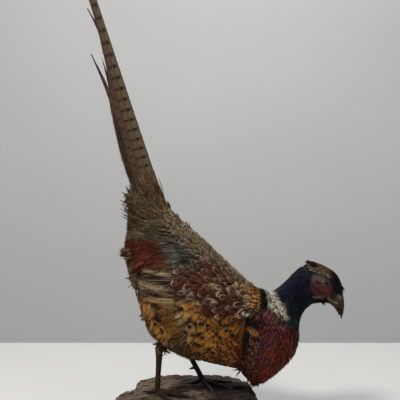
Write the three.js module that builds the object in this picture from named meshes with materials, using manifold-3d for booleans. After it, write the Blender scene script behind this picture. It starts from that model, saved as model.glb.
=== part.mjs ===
// A life-size cock pheasant mounted on a slab of weathered wood, head down and tail raised.
// Millimetres. +X is the way the bird faces, +Y its left side, +Z up.
// The origin is the middle of the slab's flat underside.
import * as THREE from "three";
import { mergeVertices } from "three/addons/utils/BufferGeometryUtils.js";
import Module from "manifold-3d";

const wasm = await Module();
wasm.setup();

// ---------------------------------------------------------------- driving dimensions

const GAP = 0.35; // between neighbours
const SLAB_TOP = 48; // height of the slab's walking surface

const EYE_RADIUS = 4.7;
const EYE_CENTRE = new THREE.Vector3(190.5, 14.1, 198.7);

const TARSUS_RADIUS = 3.5;
const TOE_RADIUS = 2.9;
const CLAW_LENGTH = 11;

const FEATHER_THICKNESS = 1.1; // at the shaft of a tail feather
const FEATHER_EDGE = 0.55;

// ---------------------------------------------------------------- materials

const finish = (color, roughness, metalness = 0) =>
  new THREE.MeshStandardMaterial({ color, roughness, metalness });

const FINISH = {
  trunk: finish("#8a5527", 0.8),
  neck: finish("#1b2233", 0.5),
  head: finish("#7b3b34", 0.7),
  wing: finish("#7a5a45", 0.8),
  thigh: finish("#9c7448", 0.8),
  tail: finish("#80643c", 0.7),
  bill: finish("#8f7a5c", 0.45),
  leg: finish("#3e3127", 0.6),
  claw: finish("#1d1713", 0.45),
  eye: finish("#140c08", 0.15),
  slab: finish("#5d4c3e", 0.9),
};

// ---------------------------------------------------------------- solids

const v2 = (x, z) => new THREE.Vector3(x, 0, z);

// The closed solid of a geometry, with only its positions kept.
function solidOf(geometry) {
  const bare = geometry.clone();
  bare.deleteAttribute("normal");
  bare.deleteAttribute("uv");
  const merged = mergeVertices(bare, 1e-4);
  return new wasm.Manifold(
    new wasm.Mesh({
      numProp: 3,
      vertProperties: new Float32Array(merged.attributes.position.array),
      triVerts: new Uint32Array(merged.index.array),
    }),
  );
}

function geometryOf(solid) {
  const mesh = solid.getMesh();
  const geometry = new THREE.BufferGeometry();
  geometry.setAttribute("position", new THREE.Float32BufferAttribute(mesh.vertProperties, 3));
  geometry.setIndex(new THREE.Uint32BufferAttribute(mesh.triVerts, 1));
  geometry.computeVertexNormals();
  return geometry;
}

// Skins a row of rings, each the same number of points, and closes both ends with a fan.
function loft(rings) {
  const around = rings[0].length;
  const points = rings.flat();
  const middle = (ring) =>
    ring.reduce((sum, p) => sum.add(p), new THREE.Vector3()).divideScalar(ring.length);
  points.push(middle(rings[0]), middle(rings.at(-1)));
  const first = points.length - 2;
  const last = points.length - 1;
  const faces = [];
  for (let i = 0; i + 1 < rings.length; i++) {
    for (let j = 0; j < around; j++) {
      const a = i * around + j;
      const b = i * around + ((j + 1) % around);
      faces.push(a, b, b + around, a, b + around, a + around);
    }
  }
  const end = (rings.length - 1) * around;
  for (let j = 0; j < around; j++) {
    const k = (j + 1) % around;
    faces.push(first, k, j, last, end + j, end + k);
  }
  const geometry = new THREE.BufferGeometry();
  const numbers = points.flatMap((p) => p.toArray());
  geometry.setAttribute("position", new THREE.Float32BufferAttribute(numbers, 3));
  geometry.setIndex(signedVolume(points, faces) < 0 ? faces.toReversed() : faces);
  return solidOf(geometry);
}

function signedVolume(points, faces) {
  let six = 0;
  const cross = new THREE.Vector3();
  for (let i = 0; i < faces.length; i += 3) {
    six += points[faces[i]].dot(cross.crossVectors(points[faces[i + 1]], points[faces[i + 2]]));
  }
  return six / 6;
}

// A ring through a top and a bottom point, widest half-way, rounder than an ellipse by its fullness.
function section(top, bottom, halfWidth, around, fullness) {
  const centre = top.clone().add(bottom).multiplyScalar(0.5);
  const up = top.clone().sub(centre);
  const bulge = (value) => Math.sign(value) * Math.abs(value) ** fullness;
  return Array.from({ length: around }, (_, j) => {
    const angle = (2 * Math.PI * j) / around;
    const p = centre.clone().addScaledVector(up, bulge(Math.cos(angle)));
    p.y = halfWidth * bulge(Math.sin(angle));
    return p;
  });
}

// Stations are [top x, top z, bottom x, bottom z, half-width], joined by smooth curves.
function shapeThrough(stations, steps, around, fullness, grow = 0) {
  const tops = new THREE.CatmullRomCurve3(stations.map((s) => v2(s[0], s[1])));
  const bottoms = new THREE.CatmullRomCurve3(stations.map((s) => v2(s[2], s[3])));
  const widths = new THREE.CatmullRomCurve3(stations.map((s, i) => v2(i, s[4])));
  const rings = [];
  for (let i = 0; i <= steps; i++) {
    const t = i / steps;
    const top = tops.getPoint(t);
    const bottom = bottoms.getPoint(t);
    const out = top.clone().sub(bottom).normalize().multiplyScalar(grow);
    rings.push(section(top.add(out), bottom.sub(out), widths.getPoint(t).z + grow, around, fullness));
  }
  return rings;
}

// A round tube along a curve, its radius given at each of the curve's points.
function taperedTube(points, radii, steps, around) {
  const curve = new THREE.CatmullRomCurve3(points);
  const radiusAlong = new THREE.CatmullRomCurve3(radii.map((r, i) => v2(i, r)));
  const frames = curve.computeFrenetFrames(steps, false);
  const rings = [];
  for (let i = 0; i <= steps; i++) {
    const centre = curve.getPointAt(i / steps);
    const radius = radiusAlong.getPointAt(i / steps).z;
    rings.push(
      Array.from({ length: around }, (_, j) => {
        const angle = (2 * Math.PI * j) / around;
        return centre
          .clone()
          .addScaledVector(frames.normals[i], radius * Math.cos(angle))
          .addScaledVector(frames.binormals[i], radius * Math.sin(angle));
      }),
    );
  }
  return loft(rings);
}

function ball(centre, radius) {
  return solidOf(new THREE.SphereGeometry(radius, 12, 7).translate(...centre.toArray()));
}

// Everything on the side of a plane that its normal points to.
function halfSpace(point, normal) {
  const size = 900;
  const box = new THREE.BoxGeometry(size, size, size).translate(0, 0, size / 2);
  const up = new THREE.Vector3(0, 0, 1);
  const turn = new THREE.Quaternion().setFromUnitVectors(up, normal.clone().normalize());
  return solidOf(box.applyQuaternion(turn).translate(...point.toArray()));
}

function mirrored(solid) {
  return solid.mirror([0, 1, 0]);
}

// ---------------------------------------------------------------- the body, from tail root to forehead

const BODY = {
  tailRoot: [-45, 331, -84, 318, 17],
  rumpTop: [-25, 302, -84, 284, 27],
  rump: [-6, 283, -88.5, 245, 38],
  loin: [21, 260.5, -81, 209, 48],
  midBack: [50, 232, -69, 169, 55],
  flank: [73, 211, -53, 124, 59],
  shoulder: [91, 196, -11, 98, 60],
  foreBelly: [102, 190, 42, 84.5, 57],
  breastNotch: [107, 187, 70, 77, 54],
  breastTip: [110, 185.6, 95, 54, 47],
  breastLow: [112.7, 185, 127, 74, 45],
  breastFront: [115.5, 185, 148, 96, 40],
  crop: [118.7, 186.3, 156, 120, 34],
  neckBase: [125, 190, 155.5, 141.5, 27],
  midNeck: [137, 200.3, 162.5, 159, 22],
  nape: [150.5, 214.3, 172, 167, 20],
  headBack: [163, 224, 179.5, 169.5, 19],
  crown: [178, 226.5, 185.5, 170, 18.5],
  eyeLine: [194.6, 219.9, 190, 169.8, 17.5],
  brow: [206.5, 211.8, 194, 170.4, 14.5],
  forehead: [213.9, 199.6, 197.4, 172.3, 11],
  billRoot: [216.6, 189.5, 203, 176, 7],
};
const BODY_STEPS = 34;
const BODY_AROUND = 20;
const whole = loft(shapeThrough(Object.values(BODY), BODY_STEPS, BODY_AROUND, 0.92));

// The plane of a station, facing along the body towards the bill.
function stationPlane(name) {
  const [topX, topZ, bottomX, bottomZ] = BODY[name];
  const rise = v2(topX - bottomX, topZ - bottomZ).normalize();
  return { point: v2((topX + bottomX) / 2, (topZ + bottomZ) / 2), normal: v2(rise.z, -rise.x) };
}

function sideOf(name, forward) {
  const { point, normal } = stationPlane(name);
  const facing = forward ? normal : normal.clone().negate();
  return halfSpace(point.clone().addScaledVector(facing, GAP / 2), facing);
}

// ---------------------------------------------------------------- bill

const BILL_UPPER = [
  [213, 192, 196.5, 176.5, 6.5],
  [216.3, 183.5, 201.8, 172.8, 6.6],
  [217.8, 173.5, 206.3, 167.4, 5.6],
  [218.3, 163.8, 210.2, 160.2, 4.3],
  [217.4, 155.3, 212.9, 153.2, 2.7],
  [215.4, 147.2, 214.4, 147, 0.7],
];
const BILL_LOWER = [
  [197, 175.6, 192, 169.4, 5.6],
  [201, 171.5, 198.8, 166.8, 5],
  [205.6, 166, 203.8, 163.2, 4],
  [209, 160, 207.8, 158.4, 2.6],
  [211.2, 155.4, 210.4, 154.8, 0.8],
];
const BILL_STEPS = 9;
const BILL_AROUND = 12;
const bill = (stations, grow = 0) => loft(shapeThrough(stations, BILL_STEPS, BILL_AROUND, 0.95, grow));

const billUpper = bill(BILL_UPPER);
const billLower = bill(BILL_LOWER).subtract(bill(BILL_UPPER, GAP));

// ---------------------------------------------------------------- ear tufts, one over each ear

const TUFT = {
  root: new THREE.Vector3(176, 9, 223),
  middle: new THREE.Vector3(169.5, 10.5, 228.6),
  tip: new THREE.Vector3(163, 12.5, 229.6),
};
const TUFT_RADII = [3.6, 3.2, 0.6];
const tuft = (grow = 0) => taperedTube(Object.values(TUFT), TUFT_RADII.map((r) => r + grow), 6, 8);

// ---------------------------------------------------------------- folded wing

// Each station is [top x, top z, bottom x, bottom z, half-thickness, distance from the mid-plane].
const WING = [
  [84, 166, 84.5, 153, 2.4, 44],
  [74, 181, 78, 142, 4.6, 52],
  [51, 201, 59, 136.5, 6.4, 58.5],
  [23.5, 215.5, 32.5, 147, 6.8, 60.5],
  [-3, 223.5, 3.5, 165.5, 6.2, 57.5],
  [-29.5, 226, -23, 176, 5.2, 51.5],
  [-52, 222, -47, 185.5, 3.6, 44.5],
  [-73, 207, -71, 196, 1.4, 37],
];
const WING_BOW = 13; // how far the edges curve in towards the body
const WING_TALLEST = 35; // half-height where that bow is full

// The left wing, a lens that bows round the body.
function wing(grow = 0) {
  const rings = shapeThrough(WING, 13, 12, 0.9, grow);
  const distances = new THREE.CatmullRomCurve3(WING.map((s, i) => v2(i, s[5])));
  rings.forEach((ring, i) => {
    const distance = distances.getPoint(i / (rings.length - 1)).z;
    const centre = ring[0].clone().add(ring[ring.length / 2]).multiplyScalar(0.5);
    for (const p of ring) {
      const across = p.distanceTo(centre.clone().setY(p.y)) / WING_TALLEST;
      p.y += distance - WING_BOW * across * across;
    }
  });
  return loft(rings);
}

// ---------------------------------------------------------------- legs

// Toes are [heading in degrees, length].
const LEGS = {
  right: {
    hip: new THREE.Vector3(-4, -36, 152),
    knee: new THREE.Vector3(-24, -36, 130),
    hock: new THREE.Vector3(-38, -31, 113),
    ankle: new THREE.Vector3(-41, -31, SLAB_TOP + 9),
    spur: new THREE.Vector3(-0.45, 0.85, -0.25),
    toes: { inner: [16, 34], middle: [-18, 44], outer: [-58, 35], hind: [152, 16] },
  },
  left: {
    hip: new THREE.Vector3(14, 34, 146),
    knee: new THREE.Vector3(0, 34, 128),
    hock: new THREE.Vector3(-10, 29, 113),
    ankle: new THREE.Vector3(20, 26, SLAB_TOP + 9),
    spur: new THREE.Vector3(-0.92, -0.3, -0.25),
    toes: { inner: [-72, 34], middle: [-38, 44], outer: [6, 35], hind: [190, 16] },
  },
};
const THIGH_RADII = [25, 17, 7.5]; // at hip, knee and hock
const TOE_RADII = [3.4, 3.1, TOE_RADIUS, 2.3];
const CLAW_RADII = [1.9, 1.4, 0.35];
const HIND_CLAW_SCALE = 0.7;

const thigh = (leg, grow = 0) =>
  taperedTube([leg.hip, leg.knee, leg.hock], THIGH_RADII.map((r) => r + grow), 6, 12);

function heading(degrees) {
  const angle = THREE.MathUtils.degToRad(degrees);
  return new THREE.Vector3(Math.cos(angle), Math.sin(angle), 0);
}

// A toe's path: from under the ankle down to the slab and along it.
function toePath(leg, [degrees, length]) {
  const way = heading(degrees);
  const at = (share, height) =>
    leg.ankle.clone().setZ(SLAB_TOP + GAP + height).addScaledVector(way, share * length);
  return [at(0, 8), at(0.35, TOE_RADIUS + 2.4), at(0.7, TOE_RADIUS + 0.4), at(1, TOE_RADIUS)];
}

// The bare shank, from inside the feathered thigh down to the ankle.
function shank(side, grow = 0) {
  const { hock, ankle } = LEGS[side];
  const head = hock.clone().lerp(ankle, -0.06);
  const middle = hock.clone().lerp(ankle, 0.5);
  const foot = ankle.clone().setZ(SLAB_TOP + 5);
  const radii = [1.1, 0, 0.6, 0].map((swelling) => TARSUS_RADIUS + swelling + grow);
  return taperedTube([head, middle, ankle, foot], radii, 7, 9);
}

function leg(side) {
  const bones = LEGS[side];
  let solid = shank(side);
  for (const toe of Object.values(bones.toes)) {
    solid = solid.add(taperedTube(toePath(bones, toe), TOE_RADII, 5, 7));
  }
  return solid;
}

function claw(side, toe) {
  const bones = LEGS[side];
  const path = toePath(bones, bones.toes[toe]);
  const way = heading(bones.toes[toe][0]);
  const root = path.at(-1).clone().addScaledVector(way, GAP);
  const length = CLAW_LENGTH * (toe === "hind" ? HIND_CLAW_SCALE : 1);
  const bend = root.clone().addScaledVector(way, length / 2).setZ(root.z + 0.2);
  const tip = root.clone().addScaledVector(way, length).setZ(SLAB_TOP + GAP + 0.7);
  return taperedTube([root, bend, tip], CLAW_RADII, 5, 6);
}

const SPUR_PLACE = 0.7; // share of the tarsus below the hock
const SPUR_LENGTH = 9;
const SPUR_RADII = [2.6, 1.6, 0.4];

function spur(side, grow = 0) {
  const bones = LEGS[side];
  const way = bones.spur.clone().normalize();
  const root = bones.hock
    .clone()
    .lerp(bones.ankle, SPUR_PLACE)
    .addScaledVector(way, TARSUS_RADIUS - 1.4 - grow);
  const bend = root.clone().addScaledVector(way, 0.55 * SPUR_LENGTH);
  const tip = root.clone().addScaledVector(way, SPUR_LENGTH).setZ(bend.z - 1);
  return taperedTube([root, bend, tip], SPUR_RADII.map((r) => r + grow), 5, 6);
}

// ---------------------------------------------------------------- tail

const TAIL_RIDGE_BASE = new THREE.Vector3(-38, 0, 326);
const TAIL_RIDGE_TIP = new THREE.Vector3(-162, 0, 698);
const TAIL_ROOF = THREE.MathUtils.degToRad(25); // how far each half leans out from upright
const QUILL_START = 8; // how far up the ridge the feathers leave the trunk
const LAYER_STEP = 1.6;
const TAIL_OFF_CENTRE = 1.4; // from the mid-plane to the innermost pair
const VANE_TAPER = 0.55;
const TIP_HALF_WIDTH = 0.6;
const TAIL_STEPS = 8;

// Pairs from the middle outwards: share of the ridge each tip reaches, half-width at the root,
// how far the upper edge lies below the ridge at root and tip, and layer.
const TAIL_PAIRS = [
  { tip: 1, half: 12, edge: [0.4, 0.4], layer: 0 },
  { tip: 0.7, half: 10, edge: [7, 17], layer: 1 },
  { tip: 0.54, half: 9, edge: [13, 32], layer: 2 },
  { tip: 0.4, half: 8, edge: [18, 24.5], layer: 3 },
  { tip: 0.27, half: 7.5, edge: [22, 29], layer: 4 },
];

// One feather of the bird's left half; the right half is its mirror image.
function tailFeather({ tip, half, edge, layer }) {
  const along = TAIL_RIDGE_TIP.clone().sub(TAIL_RIDGE_BASE);
  const length = along.length() * tip;
  along.normalize();
  const belly = new THREE.Vector3(-along.z, 0, along.x);
  const out = new THREE.Vector3(0, 1, 0);
  const [rise, lean] = [Math.cos(TAIL_ROOF), Math.sin(TAIL_ROOF)];
  const down = belly.clone().multiplyScalar(rise).addScaledVector(out, lean);
  const inward = belly.clone().multiplyScalar(lean).addScaledVector(out, -rise);
  const rings = [];
  for (let i = 0; i <= TAIL_STEPS; i++) {
    const t = i / TAIL_STEPS;
    const width = Math.max(half * (1 - t) ** VANE_TAPER, TIP_HALF_WIDTH);
    const below = THREE.MathUtils.lerp(edge[0], edge[1], t * t) + width;
    const centre = TAIL_RIDGE_BASE.clone()
      .addScaledVector(along, THREE.MathUtils.lerp(QUILL_START, length, t))
      .addScaledVector(down, below)
      .addScaledVector(inward, layer * LAYER_STEP)
      .addScaledVector(out, TAIL_OFF_CENTRE);
    const corner = (share, thickness) =>
      centre.clone().addScaledVector(down, share * width).addScaledVector(inward, thickness / 2);
    rings.push([
      corner(-1, FEATHER_EDGE),
      corner(0, FEATHER_THICKNESS),
      corner(1, FEATHER_EDGE),
      corner(1, -FEATHER_EDGE),
      corner(0, -FEATHER_THICKNESS),
      corner(-1, -FEATHER_EDGE),
    ]);
  }
  return loft(rings);
}

// ---------------------------------------------------------------- wooden slab

// The rim of the top seen from above, [x, y], going round from the right-hand end.
const SLAB_RIM = [
  [95, -20], [93, 8], [90, 34], [83, 62], [71, 84], [52, 97], [32, 101], [10, 97], [-20, 96],
  [-48, 96], [-66, 86], [-74, 66], [-76, 40], [-78, 14], [-91, 0], [-98, -18], [-95, -42], [-81, -64],
  [-52, -77], [-18, -74], [14, -80], [48, -78], [76, -68], [91, -48],
];
const SLAB_SECTORS = 40;
const SLAB_WORN = 1.5; // how much lower the rim is than the middle
const SLAB_FURROW = 1.8;
// The rings from the rim down, each [share of the rim's reach, height].
const SLAB_SIDE = [[1.025, 33], [1.015, 16], [0.97, 3.5], [0.94, 0]];
const SLAB_TOP_RINGS = [0.3, 0.55, 0.72, 0.86, 0.95, 1];

// Height of the top: level where the feet stand, worn and furrowed towards the rim.
function slabHeight(share, angle) {
  const outer = THREE.MathUtils.smoothstep(share, 0.84, 1);
  return SLAB_TOP - outer * (SLAB_WORN + SLAB_FURROW * (0.5 + 0.5 * Math.sin(5 * angle + 1)));
}

function slab() {
  const corners = SLAB_RIM.map(([x, y]) => new THREE.Vector3(x, y, 0));
  const rim = new THREE.CatmullRomCurve3(corners, true);
  const ring = (share, height) =>
    Array.from({ length: SLAB_SECTORS }, (_, j) => {
      const p = rim.getPointAt(j / SLAB_SECTORS).multiplyScalar(share);
      return p.setZ(height ?? slabHeight(share, (2 * Math.PI * j) / SLAB_SECTORS));
    });
  return loft([
    ...SLAB_TOP_RINGS.map((share) => ring(share)),
    ...SLAB_SIDE.map(([share, height]) => ring(share, height)),
  ]);
}

// ---------------------------------------------------------------- cutting the body into its parts

const spreadEyes = (grow) => {
  const left = ball(EYE_CENTRE, EYE_RADIUS + grow);
  return left.add(mirrored(left));
};
const wings = wing(GAP).add(mirrored(wing(GAP)));
const thighs = thigh(LEGS.left, GAP).add(thigh(LEGS.right, GAP));
const shanks = shank("left", GAP).add(shank("right", GAP));
const tufts = tuft(GAP).add(mirrored(tuft(GAP)));

const trunk = whole
  .intersect(sideOf("neckBase", false))
  .subtract(wings)
  .subtract(thighs)
  .subtract(shanks);
const neck = whole.intersect(sideOf("neckBase", true)).intersect(sideOf("headBack", false));
const head = whole
  .intersect(sideOf("headBack", true))
  .subtract(bill(BILL_UPPER, GAP))
  .subtract(bill(BILL_LOWER, GAP))
  .subtract(spreadEyes(GAP))
  .subtract(tufts);

// ---------------------------------------------------------------- scene graph

const bird = new THREE.Group();
bird.name = "mounted_pheasant";

// The largest connected body of a solid: cuts can leave slivers.
function largest(solid) {
  return solid.decompose().reduce((a, b) => (a.volume() > b.volume() ? a : b));
}

function place(name, solid, material) {
  const mesh = new THREE.Mesh(geometryOf(largest(solid)), material);
  mesh.name = name;
  bird.add(mesh);
}

place("base_slab", slab(), FINISH.slab);
place("trunk", trunk, FINISH.trunk);
place("neck", neck, FINISH.neck);
place("head", head, FINISH.head);
place("bill_upper", billUpper, FINISH.bill);
place("bill_lower", billLower, FINISH.bill);

for (const side of ["left", "right"]) {
  const turned = (solid) => (side === "left" ? solid : mirrored(solid));
  place(`eye_${side}`, turned(ball(EYE_CENTRE, EYE_RADIUS)), FINISH.eye);
  place(`ear_tuft_${side}`, turned(tuft()), FINISH.neck);
  place(`wing_${side}`, turned(wing()), FINISH.wing);
  place(`thigh_${side}`, thigh(LEGS[side]).subtract(wings).subtract(shanks), FINISH.thigh);
  place(`leg_${side}`, leg(side).subtract(spur(side, GAP)), FINISH.leg);
  place(`spur_${side}`, spur(side), FINISH.claw);
  for (const toe of Object.keys(LEGS[side].toes)) {
    place(`claw_${side}_${toe}`, claw(side, toe), FINISH.claw);
  }
  TAIL_PAIRS.forEach((pair, i) => {
    place(`tail_feather_${side}_${i + 1}`, turned(tailFeather(pair)), FINISH.tail);
  });
}

export default bird;
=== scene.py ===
"""A life-size cock pheasant, mounted head down and tail up on a slab of weathered wood."""
import math

import bmesh
import bpy
import numpy as np
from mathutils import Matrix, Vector, noise
from mathutils.bvhtree import BVHTree
from mathutils.kdtree import KDTree


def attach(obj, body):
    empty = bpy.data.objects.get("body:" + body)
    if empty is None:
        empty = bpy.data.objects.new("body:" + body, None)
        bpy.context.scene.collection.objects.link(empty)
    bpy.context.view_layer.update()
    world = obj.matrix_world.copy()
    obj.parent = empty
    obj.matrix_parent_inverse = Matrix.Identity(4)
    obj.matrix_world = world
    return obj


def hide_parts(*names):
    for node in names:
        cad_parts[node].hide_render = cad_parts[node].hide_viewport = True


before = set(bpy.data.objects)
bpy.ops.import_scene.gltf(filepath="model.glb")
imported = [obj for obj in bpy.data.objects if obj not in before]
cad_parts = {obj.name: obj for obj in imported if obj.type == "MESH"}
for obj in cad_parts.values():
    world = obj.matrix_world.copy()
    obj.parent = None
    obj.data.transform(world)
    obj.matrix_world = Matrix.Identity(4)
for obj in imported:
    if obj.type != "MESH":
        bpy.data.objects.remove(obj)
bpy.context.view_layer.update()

MM = 0.001
SEED = 20260
draw = np.random.default_rng(SEED)


# ------------------------------------------------------------------ the camera and its side view

VIEW_AT = Vector((0.0168, -1.0, 0.3137))
PIXEL = 0.0014  # what one frame pixel covers on the bird's mid-plane, in metres
FRAME_PIXELS = 400
MIDDLE = FRAME_PIXELS / 2
SENSOR = 36.0


def make_camera():
    data = bpy.data.cameras.new("camera")
    data.sensor_width = SENSOR
    data.lens = SENSOR * -VIEW_AT.y / (FRAME_PIXELS * PIXEL)
    data.clip_start = 0.05
    camera = bpy.data.objects.new("camera", data)
    camera.location = VIEW_AT
    camera.rotation_euler = (math.radians(90), 0, 0)
    bpy.context.scene.collection.objects.link(camera)
    bpy.context.scene.camera = camera


def side_view(points):
    """Where points of the right half, or of the left half mirrored, show in the side view, in pixels."""
    reach = -VIEW_AT.y - np.abs(points[:, 1])
    across = (points[:, 0] - VIEW_AT.x) / (PIXEL * reach)
    down = (VIEW_AT.z - points[:, 2]) / (PIXEL * reach)
    return np.stack([across, down], 1) + MIDDLE


# ------------------------------------------------------------------ colours and materials

def colour(code):
    """A hex colour as linear light."""
    parts = np.array([int(code[i:i + 2], 16) / 255 for i in (1, 3, 5)])
    return np.where(parts <= 0.04045, parts / 12.92, ((parts + 0.055) / 1.055) ** 2.4)


class Finish:
    """One material, built up from short node expressions."""

    def __init__(self, name, roughness=0.7, **sockets):
        self.material = bpy.data.materials.new(name)
        self.material.use_nodes = True
        self.tree = self.material.node_tree
        self.shader = self.tree.nodes["Principled BSDF"]
        self.shader.inputs["Roughness"].default_value = roughness
        for socket, value in sockets.items():
            self.put(self.shader.inputs[socket.replace("_", " ")], value)

    def put(self, socket, value):
        if isinstance(value, bpy.types.NodeSocket):
            self.tree.links.new(value, socket)
        elif isinstance(value, str):
            socket.default_value = (*colour(value), 1)
        else:
            socket.default_value = value

    def node(self, kind, inputs=(), **settings):
        made = self.tree.nodes.new("ShaderNode" + kind)
        for key, value in settings.items():
            setattr(made, key, value)
        for key, value in dict(inputs).items():
            self.put(made.inputs[key], value)
        return made

    def maths(self, operation, a, b=0.0):
        return self.node("Math", {0: a, 1: b}, operation=operation).outputs[0]

    def add(self, a, b):
        return self.maths("ADD", a, b)

    def times(self, a, b):
        return self.maths("MULTIPLY", a, b)

    def less(self, a, b):
        return self.maths("SUBTRACT", a, b)

    def size(self, a):
        return self.maths("ABSOLUTE", a)

    def ramp(self, value, low, high):
        """0 below low, 1 above high, smooth between; the other way round if low is above high."""
        node = self.node("MapRange", {"Value": value}, interpolation_type="SMOOTHSTEP")
        start, end = (low, high) if low < high else (high, low)
        ends = (start, end, 0.0, 1.0) if low < high else (start, end, 1.0, 0.0)
        for socket, value in zip(("From Min", "From Max", "To Min", "To Max"), ends):
            node.inputs[socket].default_value = value
        return node.outputs["Result"]

    def mix(self, share, a, b, blend="MIX"):
        node = self.node("Mix", data_type="RGBA", blend_type=blend)
        for key, value in ((0, share), (6, a), (7, b)):
            self.put(node.inputs[key], value)
        return node.outputs[2]

    def place(self):
        return self.node("TexCoord").outputs["Object"]

    def uv(self, layer="Vane"):
        parts = self.node("SeparateXYZ", {0: self.node("UVMap", uv_map=layer).outputs[0]})
        return parts.outputs[0], parts.outputs[1]

    def vane(self):
        """The side, from -1 to 1, and the share of the length on a feather."""
        u, v = self.uv()
        return self.less(self.times(u, 2), 1), v

    def tint(self, layer="Tint"):
        return self.node("Attribute", attribute_name=layer).outputs["Color"]

    def number(self, layer):
        return self.node("Attribute", attribute_name=layer).outputs["Fac"]

    def speckle(self, scale, detail=2.0, vector=None, stretch=None, roughness=0.5):
        vector = vector or self.place()
        if stretch:
            vector = self.node("Mapping", {"Vector": vector, "Scale": stretch}).outputs[0]
        inputs = {"Vector": vector, "Scale": scale, "Detail": detail, "Roughness": roughness}
        return self.node("TexNoise", inputs).outputs[0]

    def cells(self, scale, vector=None, feature="F1", output="Distance"):
        node = self.node("TexVoronoi", {"Vector": vector or self.place(), "Scale": scale}, feature=feature)
        return node.outputs[output]

    def bump(self, height, depth, strength=1.0):
        self.put(self.shader.inputs["Normal"], self.node(
            "Bump", {"Height": height, "Distance": depth, "Strength": strength}).outputs[0])

    def paint(self, value):
        self.put(self.shader.inputs["Base Color"], value)
        return self.material


# ------------------------------------------------------------------ mesh helpers

def new_piece(name, mesh, *materials):
    piece = bpy.data.objects.new(name, mesh)
    bpy.context.scene.collection.objects.link(piece)
    for material in materials:
        mesh.materials.append(material)
    return piece


def from_bmesh(bm, name):
    mesh = bpy.data.meshes.new(name)
    bm.to_mesh(mesh)
    bm.free()
    return mesh


def read(mesh, what):
    flat = np.empty(len(mesh.vertices) * 3, np.float32)
    mesh.vertices.foreach_get(what, flat)
    return flat.reshape(-1, 3).astype(float)


def positions(mesh):
    return read(mesh, "co")


def vertex_normals(mesh):
    return read(mesh, "normal")


def move_to(mesh, points):
    mesh.vertices.foreach_set("co", points.astype(np.float32).ravel())
    mesh.update()


def shade_smooth(mesh):
    mesh.polygons.foreach_set("use_smooth", np.ones(len(mesh.polygons), bool))


def set_tint(mesh, values, name="Tint"):
    layer = mesh.color_attributes.new(name, "FLOAT_COLOR", "POINT")
    with_alpha = np.column_stack([values, np.ones(len(values))])
    layer.data.foreach_set("color", with_alpha.astype(np.float32).ravel())


def set_number(mesh, values, name):
    layer = mesh.attributes.new(name, "FLOAT", "POINT")
    layer.data.foreach_set("value", np.asarray(values, np.float32))


def applied(piece):
    """The mesh of a piece with its modifiers applied, in place of its own."""
    graph = bpy.context.evaluated_depsgraph_get()
    mesh = bpy.data.meshes.new_from_object(piece.evaluated_get(graph))
    old = piece.data
    piece.modifiers.clear()
    piece.data = mesh
    bpy.data.meshes.remove(old)
    return mesh


# ------------------------------------------------------------------ the tracts of the plumage

# The plumage's pigments, shared by all tracts and markings
PIGMENTS = {
    "ivory": "#c8c0ac", "cream": "#bca488", "stone": "#8a8070", "straw": "#a08c70", "sand": "#a49070",
    "buff": "#8c7654", "hazel": "#786650", "fawn": "#6c5038", "olive": "#5c4e38", "umber": "#503a2a",
    "moss": "#444434", "slate": "#6c6a5c", "mist": "#949080", "ochre": "#94642e", "tan": "#7c5028",
    "rust": "#6a3426", "brick": "#8a4c34", "gold": "#946028", "amber": "#b08040", "bronze": "#7c5020",
    "chestnut": "#8c4a1c", "copper": "#88361a", "russet": "#682616", "mahogany": "#501a12",
    "oxblood": "#2c100c", "maroon": "#54281f", "wine": "#4c262a", "plum": "#341c20", "lilac": "#784a50",
    "smoke": "#24262c", "navy": "#121826", "violet": "#2c2844", "ink": "#0c1218", "teal": "#183230",
    "jade": "#2a4a40", "soot": "#1c1410", "black": "#0c0b0b", "wattle": "#5c201c", "flesh": "#84706a",
    # horn is the pale grey of the painted highlight on the bill
    "lid": "#9a7c72", "horn": "#8a8480", "bone": "#b4a48e",
}


def pigment(name):
    return colour(PIGMENTS[name])


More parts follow.
